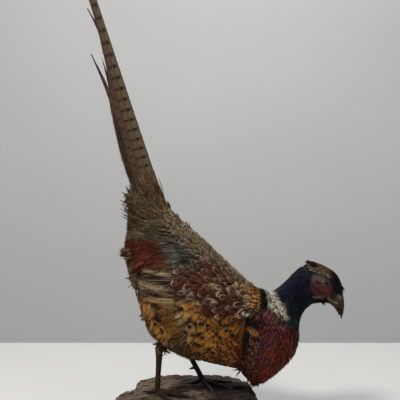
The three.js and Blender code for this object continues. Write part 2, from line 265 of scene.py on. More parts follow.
# Each tract: kind of feather, from, to and reach in side-view pixels, lie in degrees
# (0 towards the bill side, 90 up), main pigment and the pigment of its markings
TRACTS = {
    "tail_root_right": ("hair", (150, 178), (165, 205), 9, 112, "tan", "straw"),
    "tail_root_rust": ("hair", (138, 186), (152, 192), 7, 125, "chestnut", "tan"),
    "tail_root_left": ("hair", (130, 182), (132, 200), 7, 150, "olive", "buff"),
    "rump_upper": ("hair", (143, 208), (158, 214), 10, 150, "olive", "buff"),
    "rump_left": ("hair", (133, 212), (135, 226), 8, 176, "umber", "buff"),
    "rump_lower": ("hair", (150, 226), (160, 234), 9, 172, "olive", "sand"),
    "rump_edge": ("hair", (134, 236), (156, 236), 5, 181, "hazel", "straw"),
    "rust_upper": ("hair", (132, 246), (154, 246), 8, 192, "rust", "brick"),
    "rust_lower": ("hair", (134, 258), (154, 258), 8, 208, "rust", "brick"),
    "rust_tip": ("hair", (123, 254), (126, 260), 5, 190, "buff", "straw"),
    "vent": ("hair", (130, 270), (140, 276), 7, 196, "buff", "cream"),
    "slate_patch": ("hair", (168, 240), (176, 254), 9, 196, "slate", "mist"),
    "slate_low": ("hair", (178, 258), (192, 260), 6, 190, "moss", "mist"),
    "back_rear": ("back", (172, 214), (186, 226), 10, 150, "hazel", "sand"),
    "back_middle": ("back", (190, 228), (206, 246), 14, 144, "hazel", "sand"),
    "back_fore": ("back", (214, 250), (234, 268), 12, 146, "hazel", "sand"),
    "back_crest": ("back", (240, 272), (250, 280), 8, 150, "hazel", "sand"),
    "scapular_upper": ("scapular", (196, 271), (222, 274), 8, 166, "maroon", "buff"),
    "scapular_fore": ("scapular", (236, 286), (243, 300), 7, 188, "fawn", "cream"),
    "coverts_middle": ("scapular", (176, 283), (224, 292), 8.5, 182, "maroon", "cream"),
    "coverts_lower": ("scapular", (206, 306), (238, 314), 8.5, 196, "maroon", "cream"),
    "wing_rear": ("quill", (144, 276), (178, 281), 8, 174, "umber", "sand"),
    "wing_edge": ("quill", (150, 292), (178, 298), 6, 168, "fawn", "sand"),
    "loose_band": ("hair", (172, 308), (188, 328), 5.5, 200, "fawn", "sand"),
    "loose_low": ("hair", (184, 336), (188, 350), 4.5, 250, "fawn", "sand"),
    "flank_rear": ("flank", (147, 306), (156, 330), 9, 250, "gold", "amber"),
    "flank_hind": ("flank", (164, 316), (172, 334), 8, 246, "ochre", "amber"),
    "thigh": ("hair", (158, 343), (178, 347), 5.5, 262, "tan", "sand"),
    "flank_gold": ("flank", (196, 312), (212, 334), 11, 238, "gold", "amber"),
    "flank_spots": ("spotted", (192, 346), (222, 357), 10, 236, "gold", "amber"),
    "flank_upper": ("flank", (222, 322), (236, 326), 8, 216, "bronze", "gold"),
    "chestnut": ("scallop", (230, 344), (238, 360), 9, 204, "chestnut", "oxblood"),
    "dark_seam": ("neck", (250, 318), (242, 367), 3.4, 240, "soot", "black"),
    "mantle": ("mantle", (252, 288), (255, 302), 6, 182, "amber", "soot"),
    "dark_band": ("neck", (263, 290), (263, 306), 3.4, 214, "soot", "black"),
    "ring_upper": ("collar", (269, 292), (275, 303), 4.6, 228, "ivory", "stone"),
    "ring_lower": ("collar", (277, 306), (285, 319), 4.2, 236, "ivory", "stone"),
    "neck_back": ("neck", (276, 284), (298, 268), 6, 222, "smoke", "violet"),
    "neck_middle": ("neck", (284, 296), (302, 280), 7, 226, "navy", "violet"),
    "neck_fore": ("neck", (292, 314), (308, 296), 7, 236, "ink", "teal"),
    "neck_foot": ("neck", (290, 322), (296, 324), 4, 250, "teal", "jade"),
    "breast_violet": ("breast", (264, 322), (280, 326), 9, 236, "wine", "plum"),
    "breast_wine": ("breast", (268, 338), (266, 358), 7, 236, "wine", "lilac"),
    "breast_front": ("breast", (294, 332), (294, 346), 7, 258, "mahogany", "oxblood"),
    "breast_copper": ("breast", (288, 344), (280, 368), 9, 236, "russet", "oxblood"),
    "breast_tip": ("breast", (258, 384), (272, 374), 8, 214, "copper", "mahogany"),
    "breast_band": ("spangle", (258, 329), (251, 371), 6.5, 252, "maroon", "soot"),
    "nape": ("neck", (304, 268), (308, 276), 5, 206, "smoke", "violet"),
    "ear_coverts": ("head", (308, 284), (306, 296), 4, 216, "navy", "violet"),
    "crown": ("head", (310, 264), (327, 266), 4.8, 160, "olive", "hazel"),
    "brow": ("head", (311, 269), (329, 277.5), 2.3, 160, "olive", "bone"),
    "teal_line": ("head", (312, 272), (331, 279.5), 1.8, 164, "ink", "jade"),
    "forehead": ("head", (336, 273), (341, 281), 3.8, 150, "black", "soot"),
    "lores": ("head", (337, 284.5), (341, 291), 5.0, 150, "black", "ink"),
    "chin": ("head", (318, 303), (327, 302), 2.8, 236, "black", "ink"),
    "face": ("bare", (318, 283), (325, 287), 7.0, 200, "wattle", "flesh"),
}
NAMES = list(TRACTS)
KIND = np.array([TRACTS[name][0] for name in NAMES])
FROM = np.array([TRACTS[name][1] for name in NAMES], float)
TO = np.array([TRACTS[name][2] for name in NAMES], float)
REACH = np.array([TRACTS[name][3] for name in NAMES], float)
LIE = np.radians([TRACTS[name][4] for name in NAMES])
BASE = np.array([pigment(TRACTS[name][5]) for name in NAMES])
MARK = np.array([pigment(TRACTS[name][6]) for name in NAMES])
SHARPNESS = 3.0  # how fast a tract gives way to the next
WANDER = 0.22  # how much the borders of the tracts wander
WANDER_SCALE = 90


def off_lines(view, starts, ends):
    """How far each point of the side view is from each line."""
    span = ends - starts
    along = ((view[:, None] - starts) * span).sum(2) / np.maximum((span ** 2).sum(1), 1e-6)
    nearest = starts + np.clip(along, 0, 1)[..., None] * span
    return np.linalg.norm(view[:, None] - nearest, axis=2)


def tract_scores(points):
    """How far each point is from each tract, in that tract's own reaches."""
    wander = 1 + WANDER * np.array([noise.noise(Vector(p) * WANDER_SCALE) for p in points])
    return off_lines(side_view(points), FROM, TO) * wander[:, None] / REACH


def tract_shares(scores):
    """How much each tract has a say at each point."""
    closeness = 1 / (0.25 + scores) ** (2 * SHARPNESS)
    return closeness / closeness.sum(1, keepdims=True)


def plumage(points):
    """For each point: its tract, the lie of the coat in the side plane, base and mark colours."""
    scores = tract_scores(points)
    own = scores.argmin(1)
    share = tract_shares(scores)
    lie = np.stack([share @ np.cos(LIE), np.zeros(len(points)), share @ np.sin(LIE)], 1)
    return own, lie, share @ BASE, share @ MARK


# Single markings over the tracts, some of them painted shade, shadows and highlights: from, to and reach in
# side-view pixels, pigment, strength
MARKINGS = {
    "rust_glow": ((138, 262), (158, 264), 6, "brick", 0.5),
    "rust_dark_top": ((130, 241), (146, 241), 2.5, "russet", 0.6),
    "rust_grey_gap": ((137, 240), (156, 238), 2.0, "slate", 0.6),
    "green_glint": ((184, 258), (195, 268), 6, "moss", 0.75),
    "slate_light": ((163, 246), (174, 256), 4.5, "mist", 0.6),
    "purple_strip": ((140, 275), (166, 281), 3.0, "plum", 0.95),
    "purple_spot": ((146, 292), (158, 296), 2.8, "plum", 0.9),
    "buff_strip_upper": ((142, 270), (170, 276), 1.5, "sand", 0.7),
    "buff_strip_middle": ((140, 284), (172, 290), 2.2, "sand", 0.75),
    "buff_strip_lower": ((150, 300), (172, 304), 2.0, "buff", 0.7),
    "wing_shadow": ((164, 284), (194, 298), 3.6, "plum", 0.75),
    "maroon_upper": ((184, 276), (206, 284), 5, "maroon", 0.65),
    "maroon_lower": ((206, 300), (226, 312), 6, "maroon", 0.75),
    "buff_fan": ((207, 285), (218, 291), 3.2, "buff", 0.8),
    "cream_tip_rear": ((183, 291), (192, 296), 2.0, "cream", 0.85),
    "cream_tip_low": ((190, 299), (199, 304), 1.6, "cream", 0.85),
    "cream_tip_middle": ((210, 299), (215, 303), 1.6, "cream", 0.85),
    "cream_tip_fore": ((242, 313), (250, 317), 1.6, "ivory", 0.85),
    "flank_gap": ((153, 305), (157, 318), 2.6, "umber", 0.85),
    "flank_spot_1": ((155, 305), (156, 307), 2.0, "black", 0.95),
    "flank_spot_2": ((157, 318), (158, 320), 2.2, "black", 0.95),
    "flank_spot_3": ((189, 318), (189, 321), 2.0, "black", 0.95),
    "flank_spot_4": ((202, 320), (203, 323), 2.2, "black", 0.95),
    "flank_spot_5": ((211, 329), (215, 333), 2.0, "black", 0.95),
    "flank_spot_6": ((197, 335), (203, 338), 1.7, "black", 0.95),
    "flank_spot_7": ((191, 333), (192, 335), 1.5, "black", 0.95),
    "flank_spot_8": ((216, 332), (218, 335), 1.4, "black", 0.9),
    "face_upper": ((315, 278), (327, 279.5), 3.0, "flesh", 0.6),
    "face_red": ((316, 290), (328, 291), 4.4, "wattle", 0.85),
    "face_rim": ((314, 297), (322, 298), 1.3, "flesh", 0.65),
    # painted shade in the fold behind the eye and in the crease below it
    "face_fold_shade": ((317.5, 282.5), (319.3, 284.3), 1.2, "soot", 0.85),
    "face_crease_shade": ((312, 286), (322, 293), 1.2, "oxblood", 0.8),
    "lid_ring": ((325.8, 283.3), (325.9, 283.4), 2.7, "flesh", 0.8),
    "lid_dark": ((325.8, 283.3), (325.9, 283.4), 1.9, "black", 0.95),
    "lid_pale": ((322.9, 281.9), (325.0, 280.2), 0.9, "lid", 0.95),
    # painted highlight: a pale grey patch on the side of the culmen, by the nostril
    "culmen_highlight": ((339, 296), (340.5, 298), 1.5, "horn", 0.38),
    "nostril_brown": ((335.6, 295.6), (336.4, 296.6), 1.3, "umber", 0.8),
    "gape_cream": ((328, 298.5), (337, 303.5), 0.8, "bone", 0.6),
    "bill_tip": ((340.5, 309), (341.6, 321), 4.6, "black", 0.95),
    "hock_shadow": ((158, 344), (166, 351), 4.0, "soot", 0.8),
    "breast_black": ((249, 320), (254, 326), 4.2, "black", 0.97),
    "orange_tuft_upper": ((249, 329), (256, 334), 2.4, "ochre", 0.85),
    "orange_tuft_lower": ((266, 353), (274, 359), 2.4, "copper", 0.7),
    "lilac_sheen": ((266, 314), (282, 326), 5, "lilac", 0.5),
    "copper_edge": ((297, 330), (296, 362), 2.6, "oxblood", 0.7),
    "teal_glint": ((285, 322), (297, 325), 2.6, "teal", 0.7),
    "violet_glint": ((280, 286), (296, 282), 3.4, "violet", 0.5),
    "collar_fleck_1": ((270, 298), (271, 301), 1.1, "soot", 0.9),
    "collar_fleck_2": ((276, 307), (277, 309), 1.1, "soot", 0.9),
    "collar_fleck_3": ((279, 313), (280, 316), 1.0, "soot", 0.9),
    "magenta_patch": ((305, 276), (308, 279), 2.2, "plum", 0.55),
    "crown_dark": ((309, 260), (322, 262), 1.4, "moss", 0.7),
    "green_specks": ((324, 276), (331, 280), 1.2, "teal", 0.6),
    "forehead_glint": ((333, 284), (336, 288), 1.5, "teal", 0.6),
}
MARKED_FROM = np.array([row[0] for row in MARKINGS.values()], float)
MARKED_TO = np.array([row[1] for row in MARKINGS.values()], float)
MARKED_REACH = np.array([row[2] for row in MARKINGS.values()], float)
MARKED_COLOUR = np.array([pigment(row[3]) for row in MARKINGS.values()])
MARKED_STRENGTH = np.array([row[4] for row in MARKINGS.values()])
CHUNK = 40000
FADE = 0.7  # the outer share of a marking's reach over which it fades


def marked(points, colours):
    """The colours with the single markings, painted shade and highlights among them, painted over them."""
    done = []
    for start in range(0, len(points), CHUNK):
        off = off_lines(side_view(points[start:start + CHUNK]), MARKED_FROM, MARKED_TO) / MARKED_REACH
        share = np.clip(1 + FADE / 2 - off, 0, FADE) / FADE * MARKED_STRENGTH
        part = colours[start:start + CHUNK]
        for k in range(len(MARKED_REACH)):
            part = part + (MARKED_COLOUR[k] - part) * share[:, k:k + 1]
        done.append(part)
    return np.concatenate(done)


# ------------------------------------------------------------------ the body's spine, for the unwrap

SPINE = np.array([  # top x, top z, bottom x, bottom z in mm, from the tail root to the bill
    (-45, 331, -84, 318), (-25, 302, -84, 284), (-6, 283, -88.5, 245), (21, 260.5, -81, 209),
    (50, 232, -69, 169), (73, 211, -53, 124), (91, 196, -11, 98), (102, 190, 42, 84.5), (107, 187, 70, 77),
    (110, 185.6, 95, 54), (112.7, 185, 127, 74), (115.5, 185, 148, 96), (118.7, 186.3, 156, 120),
    (125, 190, 155.5, 141.5), (137, 200.3, 162.5, 159), (150.5, 214.3, 172, 167), (163, 224, 179.5, 169.5),
    (178, 226.5, 185.5, 170), (194.6, 219.9, 190, 169.8), (206.5, 211.8, 194, 170.4),
    (213.9, 199.6, 197.4, 172.3), (216.6, 189.5, 203, 176)]) * MM
SPINE_STEPS = 320
BAKE_MARGIN = 0.004


def unwrap(points):
    """The skin's own unwrap: share of the spine, and angle round it."""
    steps = np.linspace(0, len(SPINE) - 1, SPINE_STEPS)
    line = np.stack([np.interp(steps, np.arange(len(SPINE)), SPINE[:, k]) for k in range(4)], 1)
    middle = (line[:, :2] + line[:, 2:]) / 2
    upward = line[:, :2] - line[:, 2:]
    upward /= np.linalg.norm(upward, axis=1, keepdims=True)
    onward = np.stack([upward[:, 1], -upward[:, 0]], 1)
    flat = points[:, [0, 2]]
    ahead = np.einsum("nsk,sk->ns", flat[:, None] - middle[None], onward)
    beside = np.einsum("nsk,sk->ns", flat[:, None] - middle[None], upward)
    off = np.abs(ahead) + 0.15 * np.abs(beside)
    best = off.argmin(1)
    rows = np.arange(len(points))
    angle = np.arctan2(points[:, 1], beside[rows, best]) / (2 * math.pi)
    return np.stack([best / SPINE_STEPS + ahead[rows, best], angle % 1.0], 1)


def bake_place(points):
    """Where the patches of feathers with their roots there lie, clear of the map's border."""
    return BAKE_MARGIN + (1 - 2 * BAKE_MARGIN) * np.clip(unwrap(points), 0, 1)


# ------------------------------------------------------------------ the skin

EYE_AT = (190.5, 14.1, 198.7)
EYE_RADIUS = 4.7
EYE_WAY = Vector((0.26, 1, 0.05)).normalized()

FLESH = ("trunk", "neck", "head", "wing_left", "wing_right", "thigh_left", "thigh_right")
SKIN_VOXEL = 2.2 * MM
CLOSE_GAPS = 0.45 * MM  # each solid swells by this before they join
# How far the skin lies inside the solids, in mm, so that the coat fills them
COAT_DEPTH = {"hair": 4.5, "back": 3.4, "quill": 3.6, "scapular": 3.4, "flank": 4.2, "spotted": 3.4,
              "scallop": 3.2, "mantle": 3.0, "collar": 2.2, "neck": 2.0, "breast": 3.2, "spangle": 3.0,
              "head": 1.1, "bare": 0.7}


def eye_place(side):
    """The middle of one eye and the way it looks."""
    return (Vector((EYE_AT[0], side * EYE_AT[1], EYE_AT[2])) * MM,
            Vector((EYE_WAY.x, side * EYE_WAY.y, EYE_WAY.z)))


def smooth(bm, verts, rounds):
    for _ in range(rounds):
        bmesh.ops.smooth_vert(bm, verts=verts, factor=0.5, use_axis_x=True, use_axis_y=True, use_axis_z=True)


def copy_of(node):
    bm = bmesh.new()
    bm.from_mesh(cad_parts[node].data)
    bmesh.ops.remove_doubles(bm, verts=bm.verts, dist=1e-6)
    return bm


def joined_flesh():
    whole = bmesh.new()
    for node in FLESH:
        bm = copy_of(node)
        bm.normal_update()
        for vert in bm.verts:
            vert.co += vert.normal * CLOSE_GAPS
        part = from_bmesh(bm, node + "_copy")
        whole.from_mesh(part)
        bpy.data.meshes.remove(part)
    return from_bmesh(whole, "skin")


def make_skin():
    skin = new_piece("skin", joined_flesh())
    remesh = skin.modifiers.new("join", "REMESH")
    remesh.mode = "VOXEL"
    remesh.voxel_size = SKIN_VOXEL
    mesh = applied(skin)
    bm = bmesh.new()
    bm.from_mesh(mesh)
    smooth(bm, bm.verts, 4)
    bm.to_mesh(mesh)
    bm.free()
    points = positions(mesh)
    depth = tract_shares(tract_scores(points)) @ np.array([COAT_DEPTH[kind] for kind in KIND])
    move_to(mesh, points - vertex_normals(mesh) * (depth * MM)[:, None])
    sculpt_face(mesh)
    shade_smooth(mesh)
    return skin


# Relief of the bare face: from, to and reach in side-view pixels, height in mm
RELIEF = {
    "fold_behind_eye": ((316.6, 281.8), (319.4, 284.6), 1.4, -2.0),
    "crease_back": ((311.5, 277), (316, 281), 1.0, -1.0),
    "crease_below": ((312.5, 286), (323, 293.5), 0.9, -1.2),
    "crease_middle": ((319, 287), (330, 290), 0.9, -0.9),
    "crease_front": ((327.5, 288), (332, 284), 0.9, -0.9),
    "cheek_pad": ((316, 290), (326, 291), 3.2, 1.1),
    "upper_pad": ((315, 277.5), (325, 278.5), 2.2, 0.8),
    "lower_rim": ((313, 296.5), (323, 298), 1.2, 1.3),
}
LID_OPENING = 2.6  # distances from the middle of the eye, in mm
LID_EDGE = 4.4
LID_FOOT = 5.6  # past the eyeball, where the lids run out
FACE = NAMES.index("face")
FACE_FINE = 1.55  # how far out the mesh of the face is refined, in reaches of its tract
PAPILLAE = 560


def sculpt_face(mesh):
    """Refines the bare face and gives it a swollen wattle, creases and the rims of the lids."""
    bm = bmesh.new()
    bm.from_mesh(mesh)
    bm.faces.ensure_lookup_table()
    centres = np.array([face.calc_center_median()[:] for face in bm.faces])
    score = tract_scores(centres)[:, FACE]
    chosen = [bm.faces[k] for k in np.nonzero(score < FACE_FINE)[0]]
    edges = list({edge for face in chosen for edge in face.edges})
    made = bmesh.ops.subdivide_edges(bm, edges=edges, cuts=3, use_grid_fill=True)
    faces = [item for item in made["geom"] if isinstance(item, bmesh.types.BMFace)]
    fine = list({vert for face in faces for vert in face.verts})
    smooth(bm, fine, 5)
    bmesh.ops.triangulate(bm, faces=[face for face in bm.faces if len(face.verts) > 4])
    bm.normal_update()
    points = np.array([vert.co[:] for vert in fine])
    score = tract_scores(points)[:, FACE]
    starts, ends, reach, height = (np.array(column, float) for column in zip(*RELIEF.values()))
    off = off_lines(side_view(points), starts, ends) / reach
    swell = np.clip((1.2 - score) / 0.5, 0, 1) + np.exp(-off ** 2) @ height
    warts = np.array([noise.noise(Vector(p) * PAPILLAE) for p in points])
    swell += np.clip(1.3 - score, 0, 0.6) * 0.9 * warts
    for vert, lift in zip(fine, swell):
        vert.co += vert.normal * (float(lift) * MM)
    for side in (-1, 1):
        centre, way = eye_place(side)
        for vert in fine:
            rel = vert.co - centre
            ahead = rel.dot(way)
            if ahead < -4 * MM:
                continue
            flat = rel - way * ahead
            off = flat.length / MM * (1 + 0.14 * abs(flat.normalized().z))  # the opening is wider than high
            ball = math.sqrt(max(EYE_RADIUS ** 2 - min(off, EYE_RADIUS) ** 2, 0))
            if off < LID_OPENING:
                vert.co = centre + flat + way * ((ball - 1.3) * MM)
            elif off < LID_FOOT:
                share = min(1.0, (off - LID_OPENING) / (LID_EDGE - LID_OPENING))
                lid = ball + 0.55 * (1 - share) + 0.4
                vert.co = centre + flat + way * (max(lid, ahead / MM * share) * MM)
    bm.to_mesh(mesh)
    bm.free()
    mesh.update()


# ------------------------------------------------------------------ feather shapes

# Outline of a contour feather: share of its length, share of its half-width
OUTLINE = ((0.0, 0.16), (0.14, 0.5), (0.32, 0.82), (0.5, 0.98), (0.68, 1.0), (0.83, 0.86), (0.93, 0.58),
           (1.0, 0.22))
COLUMNS = (-1.0, -0.5, 0.0, 0.5, 1.0)
PATH_STEPS = 8


class Shape:
    """A feather laid out flat: per vertex the share of its length, its offset and its rise."""

    def __init__(self):
        self.along, self.across, self.rise, self.uv, self.tone, self.faces = [], [], [], [], [], []

    def vertex(self, along, across, rise, uv, tone=1.0):
        self.along.append(along)
        self.across.append(across)
        self.rise.append(rise)
        self.uv.append(uv)
        self.tone.append(tone)
        return len(self.along) - 1

    def vane(self, outline=OUTLINE, columns=COLUMNS, camber=0.9, split=0.0, dice=None):
        """A closed thin vane: arched above, flat beneath."""
        rows = []
        for along, half in outline:
            row = []
            for u in columns:
                nick = 0.0 if dice is None or along < 0.3 else float(dice.uniform(-split, split)) * abs(u)
                back = 0.05 * u * u * (1 - along)
                row.append(self.vertex(along - back + 0.08 * nick, u * half * (1 + nick),
                                       camber * (1 - u * u) * half, ((u + 1) / 2, along)))
            rows.append(row)
        last = len(columns) - 1
        for lower, upper in zip(rows, rows[1:]):
            for k in range(last):
                self.faces.append((lower[k], lower[k + 1], upper[k + 1], upper[k]))
            self.faces.append((lower[last], lower[0], upper[0], upper[last]))
        self.faces.append(tuple(reversed(rows[0])))
        self.faces.append(tuple(rows[-1]))
        return self

    def strand(self, start, end, side, lean, thick, rise, bow, tone=1.0):
        """One three-sided tapering barb."""
        rings = []
        arch = 0.9 * thick ** 0.5 * min(1.0, 0.2 + rise)
        for t in (0.0, 0.4, 0.75):
            along = start + (end - start) * t
            middle = side + lean * t + bow * math.sin(math.pi * t)
            size = thick * (1 - 0.55 * t)
            rings.append([self.vertex(along, middle + size * math.cos(a), rise * t + arch * math.sin(a),
                                      (0.5 + 0.4 * side, along), tone) for a in (-0.5, 1.57, 3.64)])
        tip = self.vertex(end, side + lean, rise, (0.5 + 0.4 * side, 1.0), tone)
        for lower, upper in zip(rings, rings[1:]):
            for k in range(3):
                self.faces.append((lower[k], upper[k], upper[(k + 1) % 3], lower[(k + 1) % 3]))
        for k in range(3):
            self.faces.append((rings[-1][k], tip, rings[-1][(k + 1) % 3]))
        self.faces.append(tuple(rings[0]))
        return self


def hair_shape(dice, strands=7):
    shape = Shape().vane(((0.0, 0.3), (0.35, 0.8), (0.7, 0.55), (0.9, 0.12)), (-1.0, 0.0, 1.0), 0.4)
    for _ in range(strands):
        shape.strand(dice.uniform(0.1, 0.5), dice.uniform(0.75, 1.15), dice.uniform(-0.9, 0.9),
                     dice.uniform(-0.6, 0.6), 0.085, dice.uniform(0.3, 1.5), dice.uniform(-0.25, 0.25),
                     dice.choice((0.45, 0.8, 1.2, 1.9)))
    return shape


def wisp_shape(dice):
    """A small loose feather whose barbs part into light and dark hairs."""
    outline = ((0.0, 0.2), (0.3, 0.75), (0.62, 0.9), (0.86, 0.6), (1.0, 0.14))
    shape = Shape().vane(outline, (-1.0, 0.0, 1.0), 0.5, split=0.2, dice=dice)
    for _ in range(5):
        side = dice.uniform(-0.9, 0.9)
        shape.strand(dice.uniform(0.3, 0.6), dice.uniform(0.85, 1.15), side, dice.uniform(-0.1, 0.4) * side,
                     0.075, dice.uniform(0.5, 1.1), dice.uniform(-0.15, 0.15),
                     dice.choice((0.4, 0.75, 1.5, 2.2)))
    return shape


def silky_shape(dice):
    """A small close feather whose tip frays into a few fine barbs."""
    outline = ((0.0, 0.2), (0.35, 0.85), (0.7, 0.95), (0.9, 0.62), (1.0, 0.2))
    shape = Shape().vane(outline, (-1.0, 0.0, 1.0), 0.3, split=0.15, dice=dice)
    for _ in range(3):
        side = dice.uniform(-0.8, 0.8)
        shape.strand(dice.uniform(0.4, 0.6), dice.uniform(0.95, 1.12), side, dice.uniform(-0.1, 0.3) * side,
                     0.1, dice.uniform(0.2, 0.4), 0.0, dice.choice((0.6, 0.9, 1.5)))
    return shape


def contour_shape(dice):
    return Shape().vane(split=0.09, dice=dice)


def ragged_shape(dice):
    """A contour feather with loose barbs past its edge."""
    shape = Shape().vane(split=0.16, dice=dice)
    for _ in range(4):
        side = dice.choice((-1, 1)) * dice.uniform(0.3, 0.9)
        shape.strand(dice.uniform(0.4, 0.7), dice.uniform(0.95, 1.1), side, 0.25 * side, 0.05, 0.8, 0.0,
                     dice.choice((0.5, 0.9, 1.6)))
    return shape


# kind: length, width, spacing of the roots, rise of the tip (mm), shape, how much the lie wavers (degrees)
GROWTH = {
    "hair": (24, 5.6, 3.7, 4.2, hair_shape, 9),
    "back": (13, 6.5, 3.5, 2.8, wisp_shape, 10),
    "quill": (40, 9.0, 7.0, 3.6, ragged_shape, 5),
    "scapular": (18, 10, 6.2, 3.2, ragged_shape, 12),
    "flank": (20, 9.5, 6.0, 3.2, ragged_shape, 9),
    "spotted": (16, 7.2, 4.9, 2.4, ragged_shape, 3),
    "scallop": (17, 14, 6.2, 2.6, contour_shape, 5),
    "mantle": (13, 7, 4.0, 2.6, wisp_shape, 8),
    "collar": (9, 5.0, 2.8, 2.2, wisp_shape, 12),
    "neck": (9, 3.6, 2.1, 1.5, silky_shape, 9),
    "breast": (12, 6.8, 3.4, 2.4, silky_shape, 7),
    "spangle": (11, 7.0, 3.7, 2.6, contour_shape, 10),
    "head": (4.2, 1.9, 1.15, 0.7, silky_shape, 10),
}
COAT_SLOT = {kind: "body_feathers" for kind in GROWTH} | {
    "quill": "wing_feathers", "scapular": "wing_feathers", "collar": "neck_feathers",
    "neck": "neck_feathers", "head": "neck_feathers"}
WING_END = 137  # where the folded wing ends in the side view
VARIANTS = 5
MOST_TRIANGLES = 190000
PATCH = 0.003  # size of one feather's patch on the bake map
CROWDING = 7  # darts thrown for each root that is wanted
CLEAR_ROUND = 0.86  # share of the spacing that stays free round each root
EYE_CLEAR = 7.4  # no feather has its root closer than this to the middle of the eye


class Ground:
    """The skin as something to walk on."""

    def __init__(self, mesh):
        mesh.calc_loop_triangles()
        self.points = positions(mesh)
        self.corners = np.array([tri.vertices[:] for tri in mesh.loop_triangles])
        self.tree = BVHTree.FromPolygons(self.points.tolist(), self.corners.tolist())
        self.normals = vertex_normals(mesh)[self.corners].sum(1)
        self.normals /= np.linalg.norm(self.normals, axis=1, keepdims=True)
        a, b, c = (self.points[self.corners[:, k]] for k in range(3))
        self.areas = np.linalg.norm(np.cross(b - a, c - a), axis=1) / 2
        self.centres = (a + b + c) / 3

    def nearest(self, points):
        found = [self.tree.find_nearest(Vector(p)) for p in points]
        places = np.array([hit[0][:] for hit in found])
        return places, self.normals[[hit[2] for hit in found]]

    def under(self, view):
        """The point of the right side that shows at a side-view pixel."""
        ahead = Vector(((view[0] - MIDDLE) * PIXEL, 1, (MIDDLE - view[1]) * PIXEL))
        hit = self.tree.ray_cast(VIEW_AT, ahead)
        return None if hit[0] is None else np.array(hit[0])


def plant(ground):
    """Roots over the whole skin, spaced by the kind of feather that grows there."""
    own, _, _, _ = plumage(ground.centres)
    spacing = np.array([GROWTH[kind][2] if kind in GROWTH else 0 for kind in KIND])[own] * MM
    wanted = np.where(spacing > 0, ground.areas / np.maximum(spacing, 1e-4) ** 2, 0)
    count = int(wanted.sum() * CROWDING)
    chosen = draw.choice(len(wanted), count, p=wanted / wanted.sum())
    a, b = draw.random(count), draw.random(count)
    flip = a + b > 1
    a, b = np.where(flip, 1 - a, a)[:, None], np.where(flip, 1 - b, b)[:, None]
    p, q, r = (ground.points[ground.corners[chosen, k]] for k in range(3))
    spots = p + a * (q - p) + b * (r - p)
    room = spacing[chosen]
    tree = KDTree(count)
    for k, spot in enumerate(spots):
        tree.insert(spot, k)
    tree.balance()
    free = np.ones(count, bool)
    kept = []
    for k in range(count):
        if not free[k]:
            continue
        kept.append(k)
        for _, other, _ in tree.find_range(spots[k], CLEAR_ROUND * room[k]):
            free[other] = False
    rooted = spots[kept]
    one_side = np.column_stack([rooted[:, 0], np.abs(rooted[:, 1]), rooted[:, 2]])
    away = np.linalg.norm(one_side - np.array(EYE_AT) * MM, axis=1)
    return rooted[away > EYE_CLEAR * MM]


def unit(vectors):
    return vectors / np.maximum(np.linalg.norm(vectors, axis=-1, keepdims=True), 1e-12)


def walk(ground, roots, heading, length):
    """Paths over the skin from the roots: places, tangents and normals, step by step."""
    here, normal = ground.nearest(roots)
    heading = unit(heading - normal * (heading * normal).sum(1, keepdims=True))
    places, normals = [here], [normal]
    step = (length / (PATH_STEPS - 1))[:, None]
    for _ in range(PATH_STEPS - 1):
        free = here + heading * step
        snapped, up = ground.nearest(free)
        drop = np.linalg.norm(free - snapped, axis=1, keepdims=True) / step
        hold = np.clip((drop - 0.3) / 0.4, 0, 0.85)
        here = snapped + (free - snapped) * hold
        normal = unit(up * (1 - hold) + normal * hold)
        heading = unit(heading - normal * (heading * normal).sum(1, keepdims=True))
        places.append(here)
        normals.append(normal)
    places, normals = np.stack(places, 1), np.stack(normals, 1)
    tangents = unit(np.gradient(places, axis=1))
    across = unit(np.cross(tangents, normals))
    return places, across, normals


def at(values, share):
    """Values along the path steps, read at shares of its length, past the end in a straight line."""
    place = share * (PATH_STEPS - 1)
    low = np.clip(np.floor(place).astype(int), 0, PATH_STEPS - 2)
    return values[:, low] + (values[:, low + 1] - values[:, low]) * (place - low)[None, :, None]


def lay(path, shape, width, rise, drop=0.8, roll=None):
    """Vertices of one shape along every path: an array of feathers by vertices by 3."""
    places, across, normals = path
    along = np.array(shape.along)
    side = np.array(shape.across)[None, :] * (width / 2)[:, None]
    height = -drop * MM + (rise + drop * MM)[:, None] * np.clip(along, 0, 1.2)[None] ** 0.8
    height = height + np.array(shape.rise)[None] * MM
    if roll is not None:
        height = height + side * roll[:, None] * along[None]
    return at(places, along) + at(across, along) * side[..., None] + at(normals, along) * height[..., None]


